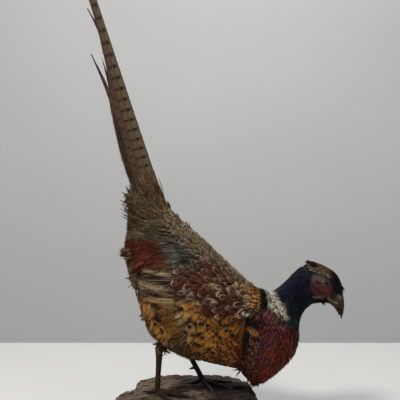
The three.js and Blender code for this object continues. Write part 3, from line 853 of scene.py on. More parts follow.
def build(name, batches, material):
    """One joined mesh from (vertices, shape, root uv, tint, mark, draw) batches."""
    points, loops, starts, totals, vane, bake, tint, mark, luck = ([] for _ in range(9))
    base, loop_base = 0, 0
    for verts, shape, root_uv, tints, marks, draws in batches:
        feathers, count = verts.shape[:2]
        if not feathers:
            continue
        flat = np.concatenate([np.array(face) for face in shape.faces])
        sizes = np.array([len(face) for face in shape.faces])
        offsets = base + np.arange(feathers)[:, None] * count
        points.append(verts.reshape(-1, 3))
        loops.append((flat[None] + offsets).ravel())
        begin = np.concatenate([[0], sizes.cumsum()[:-1]])
        starts.append((begin[None] + loop_base + np.arange(feathers)[:, None] * len(flat)).ravel())
        totals.append(np.tile(sizes, feathers))
        uv = np.array(shape.uv)
        vane.append(np.tile(uv[flat], (feathers, 1)))
        bake.append((root_uv[:, None] + PATCH * (uv[flat][None] - 0.5)).reshape(-1, 2))
        tone = np.tile(shape.tone, feathers)[:, None]
        flat_points = verts.reshape(-1, 3)
        tint.append(marked(flat_points, np.repeat(tints, count, 0)) * tone)
        mark.append(marked(flat_points, np.repeat(marks, count, 0)) * tone)
        luck.append(np.repeat(draws, count))
        base += feathers * count
        loop_base += feathers * len(flat)
    points, loops = np.concatenate(points), np.concatenate(loops)
    mesh = bpy.data.meshes.new(name)
    mesh.vertices.add(len(points))
    mesh.vertices.foreach_set("co", points.astype(np.float32).ravel())
    mesh.loops.add(len(loops))
    mesh.loops.foreach_set("vertex_index", loops.astype(np.int32))
    starts, totals = np.concatenate(starts), np.concatenate(totals)
    mesh.polygons.add(len(starts))
    mesh.polygons.foreach_set("loop_start", starts.astype(np.int32))
    mesh.polygons.foreach_set("loop_total", totals.astype(np.int32))
    mesh.update(calc_edges=True)
    mesh.validate()
    for layer, values in (("Vane", vane), ("OFBake", bake)):
        mesh.uv_layers.new(name=layer).data.foreach_set(
            "uv", np.clip(np.concatenate(values), 0, 1).astype(np.float32).ravel())
    set_tint(mesh, np.concatenate(tint))
    set_tint(mesh, np.concatenate(mark), "Mark")
    set_number(mesh, np.concatenate(luck), "Draw")
    shade_smooth(mesh)
    return new_piece(name, mesh, material)


def triangle_count(shape):
    return sum(len(face) - 2 for face in shape.faces)


def grow(ground, kind, roots, finishes):
    """The feathers of one kind, in pieces under the triangle limit."""
    length, width, _, rise, maker, waver = GROWTH[kind]
    dice = np.random.default_rng(SEED + list(GROWTH).index(kind))
    shapes = [maker(dice) for _ in range(VARIANTS)]
    count = len(roots)
    _, lie, _, _ = plumage(roots)
    angle = np.radians(dice.normal(0, waver, count))
    turned = np.stack([lie[:, 0] * np.cos(angle) - lie[:, 2] * np.sin(angle), 0.12 * dice.normal(0, 1, count),
                       lie[:, 0] * np.sin(angle) + lie[:, 2] * np.cos(angle)], 1)
    size = dice.uniform(0.82, 1.15, count)
    if kind == "quill":
        size *= np.clip((side_view(roots)[:, 0] - WING_END) * PIXEL / (length * MM), 0.35, 1)
    path = walk(ground, roots, turned, length * MM * size)
    _, _, base, mark = plumage(path[0][:, 5])
    bright = np.exp(dice.normal(0, 0.13, (count, 1)))
    warm = np.exp(dice.normal(0, 0.035, (count, 3)))
    uv = bake_place(roots)
    each = np.arange(count) % VARIANTS
    full = width * MM * size * dice.uniform(0.88, 1.12, count)
    lift = rise * MM * dice.uniform(0.7, 1.25, count)
    roll = dice.normal(0, 0.1, count)
    draws = dice.random(count)
    tints, marks = base * bright * warm, mark * bright
    per_piece = int(MOST_TRIANGLES / max(triangle_count(shape) for shape in shapes))
    for part, start in enumerate(range(0, count, per_piece)):
        chosen = np.zeros(count, bool)
        chosen[start:start + per_piece] = True
        batches = []
        for k, shape in enumerate(shapes):
            mine = chosen & (each == k)
            verts = lay(tuple(x[mine] for x in path), shape, full[mine], lift[mine], 0.8, roll[mine])
            batches.append((verts, shape, uv[mine], tints[mine], marks[mine], draws[mine]))
        finish_piece(build(f"coat_{kind}_{part + 1}", batches, finishes[kind]), COAT_SLOT[kind])


def dealt(shapes, path, width, rise, drop, uv, tints, marks, dice):
    """Batches of feathers along free paths, dealt out to the shapes; width, rise and drop in mm."""
    batches = []
    for k, shape in enumerate(shapes):
        mine = np.arange(len(uv)) % len(shapes) == k
        size = mine.sum()
        own = tuple(x[mine] for x in path)
        verts = lay(own, shape, np.full(size, width * MM), np.full(size, rise * MM), drop)
        batches.append((verts, shape, uv[mine], tints[mine], marks[mine], dice.random(size)))
    return batches


def finish_piece(piece, slot, *replaced):
    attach(piece, "root")
    if replaced:
        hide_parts(*replaced)
    return piece


# ------------------------------------------------------------------ the finishes of the coat

BARBS = 34.0
TURN = 6.283  # one barb to the next, as an angle


def barbed(finish):
    """Fine slanting barbs: how far out and along on the feather, its own draw, and the barbs."""
    side, v = finish.vane()
    reach = finish.size(side)
    luck = finish.number("Draw")
    slant = finish.add(finish.times(v, BARBS), finish.times(reach, -0.35 * BARBS))
    phase = finish.add(finish.times(slant, TURN), finish.times(finish.speckle(260, 2), 9))
    barb = finish.ramp(finish.maths("SINE", phase), -1.2, 1.0)
    finish.bump(barb, 0.25 * MM, 0.7)
    return reach, v, luck, barb


def body_finish(kind):
    metal = {"neck": 0.4, "breast": 0.25, "head": 0.1}.get(kind, 0.0)
    gloss = {"neck": 0.42, "breast": 0.45, "scallop": 0.55, "head": 0.5}.get(kind, 0.72)
    finish = Finish("plumage_" + kind, gloss, Metallic=metal, Specular_IOR_Level=0.12)
    reach, v, luck, barb = barbed(finish)
    tint, mark = finish.tint(), finish.tint("Mark")
    black = "#0c0907"
    down = finish.mix(0.5, tint, "#3a342c")
    base = finish.mix(finish.ramp(v, 0.05, 0.4), down, tint)
    edge = finish.maths("MAXIMUM", finish.ramp(reach, 0.62, 0.95), finish.ramp(v, 0.86, 0.97))
    tip = finish.ramp(v, 0.74, 0.92)
    middle = finish.ramp(reach, 0.5, 0.12)
    shaft = finish.ramp(reach, 0.14, 0.04)
    blotch = finish.ramp(finish.speckle(70, 2), 0.42, 0.62)
    oval = finish.add(finish.times(reach, 0.6), finish.size(finish.less(v, 0.68)))
    both = finish.times

    def over(share, colour_or_code, strength=1.0):
        return finish.mix(finish.times(share, strength), base, colour_or_code)

    def radius(a, b):
        return finish.maths("SQRT", finish.add(both(a, a), both(b, b)))

    def round_spot(middle_v, wide, tall):
        """1 within an oval on the shaft, wide in half-widths and tall in lengths."""
        up = finish.maths("DIVIDE", finish.less(v, middle_v), tall)
        return finish.ramp(radius(finish.maths("DIVIDE", reach, wide), up), 1.2, 0.8)

    if kind == "hair":
        base = over(finish.ramp(finish.speckle(420, 3), 0.42, 0.62), mark, 0.8)
        base = over(finish.ramp(luck, 0.5, 1.0), "#2c2218", 0.6)
        base = over(finish.ramp(finish.speckle(36, 3), 0.52, 0.7), "#3a2c1e", 0.45)
    elif kind == "back":
        base = over(finish.ramp(finish.speckle(520, 3), 0.46, 0.6), mark, 0.85)
        base = over(finish.ramp(finish.speckle(380, 2), 0.52, 0.6), "#1c140e", 0.9)
        base = over(both(middle, finish.ramp(v, 0.9, 0.6)), "#2c2218", 0.4)
    elif kind == "quill":
        base = over(finish.ramp(reach, 0.55, 0.85), mark, 0.9)
        fleck = finish.ramp(finish.speckle(300, 2), 0.5, 0.62)
        base = over(both(fleck, finish.ramp(reach, 0.8, 0.3)), black, 0.5)
        base = over(shaft, "#c0a47a", 0.5)
    elif kind == "scapular":
        base = over(blotch, "#33160f", 0.55)
        rim = radius(reach, finish.ramp(v, 0.5, 1.02))
        loop = both(finish.ramp(rim, 0.6, 0.7), finish.ramp(rim, 0.92, 0.82))
        heart = both(finish.ramp(rim, 0.2, 0.28), finish.ramp(rim, 0.44, 0.36))
        base = over(finish.ramp(rim, 0.5, 0.3), "#24120e", 0.7)
        base = over(both(loop, finish.ramp(luck, 0.35, 0.7)), mark, 0.9)
        base = over(both(both(heart, finish.ramp(luck, 0.7, 0.8)), finish.ramp(v, 0.5, 0.66)), mark, 0.85)
        base = over(both(edge, finish.ramp(luck, 0.5, 0.1)), "#6a4c36", 0.4)
    elif kind == "flank":
        base = over(blotch, mark, 0.7)
        base = over(finish.ramp(finish.speckle(160, 2), 0.56, 0.66), "#4a2408", 0.5)
        spot = both(round_spot(0.8, 0.7, 0.15), finish.ramp(luck, 0.5, 0.46))
        base = over(shaft, "#c28c40", 0.4)
        base = over(spot, black, 0.95)
    elif kind == "spotted":
        base = over(blotch, mark, 0.7)
        base = over(both(round_spot(0.84, 0.62, 0.16), finish.ramp(luck, 0.94, 0.9)), black, 0.97)
    elif kind == "scallop":
        bow = finish.add(v, finish.times(both(reach, reach), 0.16))
        base = over(both(finish.ramp(bow, 0.8, 0.85), finish.ramp(bow, 0.99, 0.94)), "#120c0a", 0.97)
        base = over(finish.ramp(bow, 0.66, 0.58), mark, 0.85)
    elif kind == "mantle":
        base = over(both(finish.ramp(oval, 0.24, 0.34), finish.ramp(luck, 0.95, 0.4)), mark, 0.95)
        base = over(finish.ramp(v, 0.55, 0.35), "#2a1c10", 0.6)
        base = over(shaft, "#d09a4c", 0.5)
    elif kind == "collar":
        base = over(finish.ramp(luck, 0.86, 0.9), "#2c2624", 0.9)
        base = over(both(finish.ramp(finish.speckle(420, 2), 0.58, 0.64), tip), "#1c1a1c", 0.8)
    elif kind == "neck":
        base = over(both(tip, blotch), mark, 0.9)
        base = over(both(middle, finish.ramp(luck, 0.6, 0.9)), mark, 0.5)
    elif kind == "breast":
        base = over(edge, mark, 0.75)
        base = over(both(middle, finish.ramp(luck, 0.3, 0.8)), "#8a3a20", 0.5)
        base = over(finish.ramp(finish.speckle(200, 2), 0.55, 0.68), mark, 0.6)
    elif kind == "spangle":
        rim = radius(reach, finish.ramp(v, 0.5, 1.02))
        base = over(finish.ramp(rim, 0.7, 0.5), mark, 0.9)
        loop = both(finish.ramp(rim, 0.66, 0.76), finish.ramp(luck, 0.2, 0.5))
        base = over(loop, finish.mix(finish.ramp(luck, 0.6, 0.8), "#7c5648", "#86562a"), 0.75)
    else:
        base = over(finish.ramp(luck, 0.45, 0.7), mark, 0.75)
        base = over(finish.ramp(v, 0.5, 0.2), "#0d0c0b", 0.6)
        base = over(finish.ramp(finish.speckle(300, 2), 0.52, 0.62), "#12100d", 0.75)
    base = over(finish.ramp(barb, 0.6, 0.1), "#080604", 0.3)
    return finish.paint(base)


def skin_finish():
    finish = Finish("skin_under_coat", 0.75, Specular_IOR_Level=0.2)
    fine = finish.speckle(700, 4)
    papillae = finish.ramp(finish.cells(900), 0.5, 0.1)
    finish.bump(finish.add(fine, papillae), 0.5 * MM, 0.8)
    base = finish.mix(finish.ramp(fine, 0.46, 0.74), finish.tint(), finish.tint("Mark"))
    base = finish.mix(finish.ramp(papillae, 0.35, 0.0), base, finish.mix(0.5, base, "#180c0a"))
    return finish.paint(finish.mix(0.25, base, "#14100c"))


# ------------------------------------------------------------------ surfaces from a grid

def surface(columns, rows, place, around=False, thick=0.0):
    """A grid bent by place(u, t), with u and t from 0 to 1: a thin closed sheet, or a closed tube."""
    bm = bmesh.new()
    bm.loops.layers.uv.new("Vane")
    bmesh.ops.create_grid(bm, x_segments=columns, y_segments=rows, size=0.5, calc_uvs=True)
    for vert in bm.verts:
        vert.co = place(vert.co.x + 0.5, vert.co.y + 0.5)
    if around:
        bmesh.ops.remove_doubles(bm, verts=bm.verts, dist=2e-6)
        bmesh.ops.holes_fill(bm, edges=[edge for edge in bm.edges if edge.is_boundary], sides=0)
    if thick:
        bm.normal_update()
        bmesh.ops.solidify(bm, geom=bm.faces, thickness=thick)
    bmesh.ops.recalc_face_normals(bm, faces=bm.faces)
    return bm


def merged(parts, name):
    whole = bmesh.new()
    whole.loops.layers.uv.new("Vane")
    for bm in parts:
        mesh = from_bmesh(bm, name + "_part")
        whole.from_mesh(mesh)
        bpy.data.meshes.remove(mesh)
    mesh = from_bmesh(whole, name)
    shade_smooth(mesh)
    return mesh


def along_line(points, t):
    """A smooth line through the points, at share t, and its direction."""
    points = [Vector(p) for p in points]
    place = min(max(t, 0.0), 1.0) * (len(points) - 1)
    k = min(int(place), len(points) - 2)
    f = place - k
    a, b = points[k], points[k + 1]
    before = points[k - 1] if k else a * 2 - b
    after = points[k + 2] if k + 2 < len(points) else b * 2 - a
    m, n = (b - before) / 2, (after - a) / 2
    spot = (a * (2 * f ** 3 - 3 * f ** 2 + 1) + m * (f ** 3 - 2 * f ** 2 + f)
            + b * (3 * f ** 2 - 2 * f ** 3) + n * (f ** 3 - f ** 2))
    way = (a * (6 * f * f - 6 * f) + m * (3 * f * f - 4 * f + 1)
           + b * (6 * f - 6 * f * f) + n * (3 * f * f - 2 * f))
    return spot, way.normalized()


def tube(points, radii, columns=12, rows=24, shape=lambda angle, t: 1.0, flat=1.0):
    """A closed tube along a line of points in mm, with radii in mm; its ends are round."""
    spread = np.linspace(0, 1, len(radii))

    def place(u, t):
        share = 0.5 - 0.5 * math.cos(math.pi * t)
        centre, way = along_line(points, share)
        radius = float(np.interp(share, spread, radii)) * min(1.0, 4.2 * math.sqrt(max(t * (1 - t), 0.0)))
        side = way.cross(Vector((0, 0, 1)) if abs(way.z) < 0.8 else Vector((1, 0, 0))).normalized()
        rise = side.cross(way)
        angle = 2 * math.pi * u
        radius *= shape(angle, share)
        return (centre + side * (radius * math.cos(angle)) + rise * (flat * radius * math.sin(angle))) * MM

    return surface(columns, rows, place, around=True)


# ------------------------------------------------------------------ tail

RIDGE_BASE = Vector((-38, 0, 326))
RIDGE_TIP = Vector((-162, 0, 698))
RIDGE_WAY = (RIDGE_TIP - RIDGE_BASE).normalized()
BELLY_WAY = Vector((-RIDGE_WAY.z, 0, RIDGE_WAY.x))
ROOF = math.radians(25)
LAYER = 1.6  # from one feather to the next below it, in mm
OFF_CENTRE = 1.4
SAG = 0.9  # how much a vane arches
# Each tail feather: sides it is on, layer, then stations of distance up the ridge, how far the shaft
# lies below the ridge and half-width, in mm
TAIL = {
    "1": ((-1, 1), 0, ((8, 12, 11.5), (60, 12, 11.3), (115, 11.4, 10.6), (185, 9.8, 9), (213, 8.6, 7.9),
                       (241, 6.8, 6.3), (285, 6.1, 5.7), (340, 5, 4.4), (380, 3, 2.2), (391, 1.6, 0.4))),
    "2": ((-1, 1), 1, ((8, 17, 10), (60, 19, 10), (115, 19, 8.8), (150, 16.5, 7.5), (185, 13.2, 5.8),
                       (215, 10.6, 3.8), (240, 11, 2.2), (258, 13.8, 1.2), (274, 17.5, 0.3))),
    "3_left": ((1,), 2, ((8, 22, 9), (60, 24, 9), (115, 23.5, 7), (150, 22.5, 4), (180, 21.4, 1.6),
                         (205, 20.4, 0.3))),
    "3_right": ((-1,), 2, ((8, 22, 9), (60, 24, 9), (115, 25, 6.4), (145, 25.6, 3.6), (165, 27, 2.6),
                           (190, 29.8, 1.5), (211, 33, 0.3))),
    "4": ((-1, 1), 3, ((8, 26, 8), (50, 28, 8), (90, 28.6, 6.5), (125, 27.8, 3.6), (152, 27, 0.4))),
    "5": ((-1, 1), 4, ((8, 29, 7.5), (40, 30.5, 7), (70, 32, 5), (100, 33, 0.6))),
}
FIRST_BAR = 18.2  # side-view height of the top bar, and how the bars step down from it
BAR_STEP = 12.61
BAR_EASE = 0.15
BAR_SLANT = 0.25
TAIL_LEFT = 91.7  # where the tail's middle lies in the side view at the top, and how it leans
TAIL_LEAN = 0.336
BAR_SHIFT = 0.37  # of a bar, from layer to layer


def bar_phase(points):
    """Counts the dark bars: whole numbers lie on a bar."""
    view = side_view(points)
    level = view[:, 1] + BAR_SLANT * (view[:, 0] - (TAIL_LEFT + TAIL_LEAN * view[:, 1])) - FIRST_BAR
    root = np.sqrt(np.maximum(BAR_STEP ** 2 - 4 * BAR_EASE * level, 1.0))
    return (BAR_STEP - root) / (2 * BAR_EASE)


def tail_place(side, along, below, inside):
    """A point of the tail in mm: up the ridge, down the roof on one side and inwards from it."""
    out = Vector((0, side, 0))
    down = BELLY_WAY * math.cos(ROOF) + out * math.sin(ROOF)
    inward = BELLY_WAY * math.sin(ROOF) - out * math.cos(ROOF)
    return RIDGE_BASE + RIDGE_WAY * along + down * below + inward * inside + out * OFF_CENTRE


def tail_feather(side, layer, stations):
    reach, below, half = (np.array(column) for column in zip(*stations))

    def place(u, t):
        s = reach[0] + (reach[-1] - reach[0]) * t
        width = float(np.interp(s, reach, half))
        side_share = 2 * u - 1
        nick = 0.07 * noise.noise(Vector((s * 0.35, layer * 9 + side, side_share * 2))) * abs(side_share)
        sag = SAG * (1 - side_share ** 2) * min(width / 9, 1)
        level = float(np.interp(s, reach, below)) + (side_share + nick) * width
        return tail_place(side, s - 1.5 * side_share ** 2, level, layer * LAYER - sag) * MM

    return surface(12, max(24, int((reach[-1] - reach[0]) / 3.2)), place, thick=0.35 * MM)


def tail_shaft(side, layer, stations):
    line = [tail_place(side, s, below, layer * LAYER - SAG * min(half / 9, 1) - 0.25)
            for s, below, half in stations]
    return tube(line, [1.0, 0.9, 0.8, 0.6, 0.4, 0.25], 6, 60)


def tail_finish():
    finish = Finish("tail_vane", 0.62, Specular_IOR_Level=0.2)
    across, v = finish.vane()
    phase = finish.number("Bars")
    nearest = finish.less(finish.maths("FRACT", finish.add(phase, 0.5)), 0.5)
    off = finish.size(nearest)
    bulge = finish.ramp(finish.size(finish.add(across, 0.22)), 0.42, 0.12)
    reach = finish.add(0.055, finish.times(bulge, 0.11))
    bar = finish.ramp(finish.maths("DIVIDE", off, reach), 1.25, 0.7)
    bar = finish.times(bar, finish.ramp(across, -0.72, -0.5))
    bar = finish.times(bar, finish.ramp(across, 1.0, 0.6))
    lines = finish.maths("SINE", finish.add(finish.times(v, 1500), finish.times(finish.size(across), -60)))
    finish.bump(finish.ramp(lines, -1, 1), 0.3 * MM, 0.6)
    grain = finish.speckle(300, 3)
    buff = finish.mix(grain, "#6a5434", "#4a3a22")
    mauve = finish.mix(grain, "#50382f", "#38241e")
    grey = finish.mix(grain, "#62563e", "#443a28")
    base = finish.mix(finish.ramp(across, 0.0, 0.85), buff, mauve)
    base = finish.mix(finish.ramp(across, -0.52, -0.72), base, grey)
    base = finish.mix(finish.times(finish.ramp(across, -0.84, -0.97), 0.85), base, "#1d1510")
    base = finish.mix(finish.ramp(off, 0.3, 0.05), base, finish.mix(0.5, base, "#3a2416"))
    base = finish.mix(bar, base, "#120b07")
    return finish.paint(finish.mix(finish.tint(), base, "#17120f"))


def make_tail():
    vane, shaft = tail_finish(), Finish("tail_shaft", 0.4)
    shaft.paint(shaft.mix(shaft.speckle(200), "#4a3524", "#2c1e14"))
    for name, (sides, layer, stations) in TAIL.items():
        for side in sides:
            where = "left" if side > 0 else "right"
            label = f"tail_{name[0]}_{where}"
            mesh = merged([tail_feather(side, layer, stations)], label)
            points = positions(mesh)
            set_number(mesh, bar_phase(points) + BAR_SHIFT * layer, "Bars")
            ridge = (points - np.array(RIDGE_BASE) * MM) @ np.array(RIDGE_WAY) / MM
            # the lower feathers end dark
            dark = np.clip((ridge - stations[-1][0] + 70) / 50, 0, 0.9) * (layer > 0)
            set_tint(mesh, np.repeat(dark[:, None], 3, 1))
            finish_piece(new_piece(label, mesh, vane), "tail_feathers", f"tail_feather_{where}_{name[0]}")
            rachis = merged([tail_shaft(side, layer, stations)], label + "_shaft")
            finish_piece(new_piece(label + "_shaft", rachis, shaft.material), "tail_feathers")


def line_paths(starts, ways, lengths, normals, bend):
    """Straight or evenly bent free paths for feathers that stand off the skin."""
    steps = np.linspace(0, 1, PATH_STEPS)[None, :, None]
    curve = bend[:, None] * steps ** 2
    places = starts[:, None] + lengths[:, None, None] * (ways[:, None] * steps + curve)
    tangents = unit(np.gradient(places, axis=1))
    normals = np.repeat(normals[:, None], PATH_STEPS, 1)
    across = unit(np.cross(tangents, normals))
    return places, across, unit(np.cross(across, tangents))


COVERTS = 340


def make_tail_coverts(dice, finishes):
    """Loose coverts and grey spikes that close over the root of the tail."""
    shapes = [hair_shape(dice, 5) for _ in range(3)]
    rows = []
    up, belly = np.array(RIDGE_WAY), np.array(BELLY_WAY)
    edge, middle, pale = pigment("olive"), pigment("tan"), pigment("straw")
    for _ in range(COVERTS):
        turn = dice.uniform(-math.pi, math.pi)
        share = (1 - math.cos(turn)) / 2  # 0 on the ridge, 1 at the belly edge
        low = dice.uniform(-30, 3)
        centre = np.array(RIDGE_BASE) + up * low + belly * (21.5 - 0.12 * low)
        wide = 18.5 - 0.3 * low
        around = -belly * math.cos(turn) * wide + np.array((0, 1, 0)) * math.sin(turn) * (13 - 0.25 * low)
        out = unit(around)
        spike = share > 0.8 and dice.random() < 0.5
        stray = dice.uniform(0.35, 1.0) if spike else dice.uniform(-0.12, 0.05)
        way = unit(up + out * stray + dice.normal(0, 0.05, 3))
        long = dice.uniform(12, 19) if spike else dice.uniform(24, 42) * (1 - 0.4 * share)
        tone = dice.random()
        rows.append(((centre + around) * MM, way, long * MM, out, up * 0.05 - out * 0.1 * (1 - share),
                     (middle + (edge - middle) * min(1, share * 1.5)) * (0.7 + 0.6 * tone),
                     pale * (0.7 + 0.5 * tone)))
    *lines, tints, marks = (np.array(column) for column in zip(*rows))
    batches = dealt(shapes, line_paths(*lines), 5.5, 1.2, 0.3, bake_place(lines[0]), tints, marks, dice)
    finish_piece(build("coat_tail_root", batches, finishes["hair"]), "tail_feathers")


FRINGE = 210
# Distance up the ridge, and how far the lower edge of the tail lies below it there, in mm
LOWER_EDGE = ((12, 28, 58, 86, 115, 143), (33, 33.5, 33, 30.6, 27.2, 24))


def make_tail_fringe(dice, finishes):
    """The frayed lower edge of the tail."""
    up, belly = np.array(RIDGE_WAY), np.array(BELLY_WAY)
    fringe = Shape()
    for k in range(5):
        fringe.strand(0.0, 0.8 + 0.1 * (k % 3), (k - 2) * 0.7, (k - 2) * 0.25, 0.14, 0.2, 0.1)
    level = dice.uniform(12, 125, FRINGE)
    side = dice.choice((-1, 1), FRINGE)
    below = np.interp(level, *LOWER_EDGE)
    spot = np.array(RIDGE_BASE) + up * level[:, None] + belly * (below - 2.5)[:, None]
    spot[:, 1] += side * (math.tan(ROOF) * below - 1.5)
    way = unit(belly + up * dice.uniform(0.3, 1.3, FRINGE)[:, None] + dice.normal(0, 0.15, (FRINGE, 3)))
    normal = np.stack([np.zeros(FRINGE), side, np.zeros(FRINGE)], 1)
    long = dice.uniform(5, 10.5, FRINGE) * MM
    path = line_paths(spot * MM, way, long, normal, np.repeat(up[None] * 0.2, FRINGE, 0))
    brown = pigment("fawn") * np.exp(dice.normal(0, 0.2, (FRINGE, 1)))
    batches = dealt([fringe], path, 3.0, 0.3, 0.0, bake_place(spot * MM), brown, brown * 1.3, dice)
    finish_piece(build("coat_tail_fringe", batches, finishes["hair"]), "tail_feathers")


# ------------------------------------------------------------------ bill, eyes and ear tufts

# Stations of the bill: top x, z, bottom x, z and half-width, in mm, from the root to the tip
UPPER = ((213, 192, 194.5, 177.5, 6.8), (216.5, 184, 199.5, 174.6, 6.7),
         (218.4, 174, 205.8, 168.9, 5.8), (218.7, 165.3, 209.6, 161.8, 4.4),
         (217.6, 156.5, 212.4, 154.2, 2.8), (214.9, 147.2, 214.2, 147, 0.6))
LOWER = ((199, 180, 192, 170, 5.8), (202.5, 175.5, 198.5, 168.6, 5.2), (208, 168.5, 203.8, 164.3, 4.2),
         (211, 161.5, 208.2, 158.4, 2.9), (213.6, 154, 211.9, 151.6, 0.8))


def bill_half(stations, upper):
    table = np.array(stations)
    steps = np.arange(len(table))

    def place(u, t):
        x0, z0, x1, z1, half = (float(np.interp(t * steps[-1], steps, table[:, k])) for k in range(5))
        angle = 2 * math.pi * u
        c, s = math.cos(angle), math.sin(angle)
        lift = math.copysign(abs(c) ** 0.9, c)
        side = math.copysign(abs(s) ** 0.9, s) * (1 - (0.28 if upper else 0.0) * max(lift, 0) ** 2)
        shrink = 0.02 if t in (0.0, 1.0) else 1.0
        swell = 0.0
        if upper:  # the soft flap over the nostril
            near = math.exp(-((t - 0.13) / 0.09) ** 2 - ((lift - 0.05) / 0.45) ** 2)
            slot = math.exp(-((t - 0.17) / 0.07) ** 2 - ((lift + 0.38) / 0.16) ** 2)
            swell = 0.55 * near - 0.9 * slot
        middle = Vector(((x0 + x1) / 2, 0, (z0 + z1) / 2))
        out = Vector((x0 - x1, 0, z0 - z1)) * (0.5 * lift * shrink)
        width = Vector((0, (half + swell) * side * shrink, 0))
        return (middle + out + width) * MM

    return surface(28, 30, place, around=True)


def bill_finish():
    finish = Finish("bill_horn", 0.5, Specular_IOR_Level=0.08)
    growth = finish.speckle(60, 4, stretch=(1, 1, 5))
    fine = finish.speckle(500, 3)
    finish.bump(finish.mix(0.5, growth, fine), 0.25 * MM, 0.6)
    scurf = finish.mix(0.5, finish.tint(), "#4c3c30")
    base = finish.mix(finish.ramp(growth, 0.35, 0.65), finish.tint(), scurf)
    spots = finish.ramp(finish.cells(320), 0.28, 0.16)
    return finish.paint(finish.mix(finish.times(spots, 0.2), base, "#3c2c22"))


def eye_finish(name, centre, way):
    finish = Finish("eye_glass_" + name, 0.06, Specular_IOR_Level=0.12, Coat_Weight=0.03,
                    Coat_Roughness=0.05)
    rel = finish.node("VectorMath", {0: finish.place(), 1: tuple(centre)}, operation="SUBTRACT").outputs[0]
    facing = finish.node("VectorMath", {0: rel, 1: tuple(way)}, operation="DOT_PRODUCT").outputs["Value"]
    share = finish.maths("DIVIDE", facing, EYE_RADIUS * MM)  # 1 at the middle of the pupil
    rays = finish.speckle(900, 3)
    iris = finish.mix(rays, "#3a1009", "#1c0604")
    base = finish.mix(finish.ramp(share, 0.955, 0.97), iris, "#040303")
    return finish.paint(finish.mix(finish.ramp(share, 0.79, 0.72), base, "#100806"))


def make_eye(side):
    name = "left" if side > 0 else "right"
    centre, way = eye_place(side)
    bm = bmesh.new()
    bmesh.ops.create_uvsphere(bm, u_segments=40, v_segments=24, radius=EYE_RADIUS * MM)
    turn = Vector((0, 0, 1)).rotation_difference(way)
    bmesh.ops.transform(bm, matrix=turn.to_matrix().to_4x4(), verts=bm.verts)
    bmesh.ops.translate(bm, vec=centre, verts=bm.verts)
    mesh = from_bmesh(bm, "eyeball_" + name)
    shade_smooth(mesh)
    piece = new_piece("eyeball_" + name, mesh, eye_finish(name, centre, way))
    finish_piece(piece, "eye_glass", "eye_" + name)


def make_bill():
    horn = bill_finish()
    for name, stations, node, code in (("bill_top", UPPER, "bill_upper", "#382819"),
                                       ("bill_bottom", LOWER, "bill_lower", "#30241c")):
        mesh = merged([bill_half(stations, node == "bill_upper")], name)
        set_tint(mesh, marked(positions(mesh), np.tile(colour(code), (len(mesh.vertices), 1))))
        finish_piece(new_piece(name, mesh, horn), "bill_horn", node)


EAR_ROOT = (176.0, 9.0, 222.5)  # of the left tuft, in mm
EAR_TIP = (167.5, 11.5, 227.0)
EAR_HAIRS = 40


def make_ear_tufts(finishes):
    dice = np.random.default_rng(SEED + 60)
    shapes = [silky_shape(dice) for _ in range(2)]
    for side, name in ((1, "left"), (-1, "right")):
        mirror = np.array((1, side, 1))
        root = EAR_ROOT * mirror + dice.normal(0, 1.8, (EAR_HAIRS, 3))
        tip = EAR_TIP * mirror + dice.normal(0, 1.3, (EAR_HAIRS, 3))
        long = np.linalg.norm(tip - root, axis=1) * dice.uniform(0.6, 1.0, EAR_HAIRS) * MM
        normal = unit(dice.normal(0, 1, (EAR_HAIRS, 3)))
        bend = np.tile((0.0, 0.0, -0.16), (EAR_HAIRS, 1))
        starts = (root + np.array((0, 0, 1.6))) * MM
        dark = pigment("soot") * np.exp(dice.normal(0, 0.25, (EAR_HAIRS, 1)))
        path = line_paths(starts, unit(tip - root), long, normal, bend)
        batches = dealt(shapes, path, 2.2, 0.2, 0.0, bake_place(starts), dark, dark * 3.0, dice)
        piece = build("coat_ear_tuft_" + name, batches, finishes["hair"])
        finish_piece(piece, "neck_feathers", "ear_tuft_" + name)


# Loose bunches that stand off the outline: root and tip in side-view pixels, feathers, spread in mm,
# width in mm, both sides or only the right, two pigments
BUNCHES = {
    "rust_tip": ((133, 252), (120, 254), 26, 4.5, 5.0, True, "fawn", "buff"),
    "rust_low": ((146, 262), (131, 272), 22, 4.0, 5.0, True, "rust", "brick"),
    "vent_left": ((140, 280), (128, 276), 12, 4.0, 4.5, True, "olive", "buff"),
    "back_tuft_1": ((170, 212), (166, 203), 9, 2.2, 3.4, True, "umber", "olive"),
    "back_tuft_2": ((181, 222), (175, 214), 8, 2.0, 3.2, True, "umber", "buff"),
    "back_tuft_3": ((192, 230), (186, 223), 8, 2.0, 3.2, True, "umber", "buff"),
    "back_spike": ((232, 263), (227.5, 257), 2, 0.5, 2.2, False, "soot", "umber"),
    "flank_wisp": ((144, 314), (140, 319), 8, 7.0, 3.0, True, "fawn", "sand"),
    "belly_fringe": ((184, 347), (186, 354), 26, 7.0, 4.0, True, "fawn", "buff"),
    "hind_belly": ((170, 344), (175, 349), 16, 8.0, 4.0, True, "fawn", "buff"),
    "thigh_cuff": ((160, 341), (160.6, 345.5), 12, 4.0, 3.0, True, "tan", "fawn"),
    "stray_dark": ((245, 366), (233, 371), 2, 0.6, 3.6, False, "soot", "umber"),
    "lores_bristles": ((338, 287), (342.6, 292), 34, 4.4, 1.8, True, "black", "ink"),
    "chin_bristles": ((324, 299), (323, 304.5), 12, 2.0, 1.8, True, "black", "ink"),
    "crop_tuft": ((255, 377), (254, 386), 26, 7.0, 5.0, True, "russet", "mahogany"),
}
AXIS_PIXEL = 188  # where the slab's middle lies across the side view
VIEW_TOP = 0.5937  # how high the top of the side view is on the mid-plane, in metres


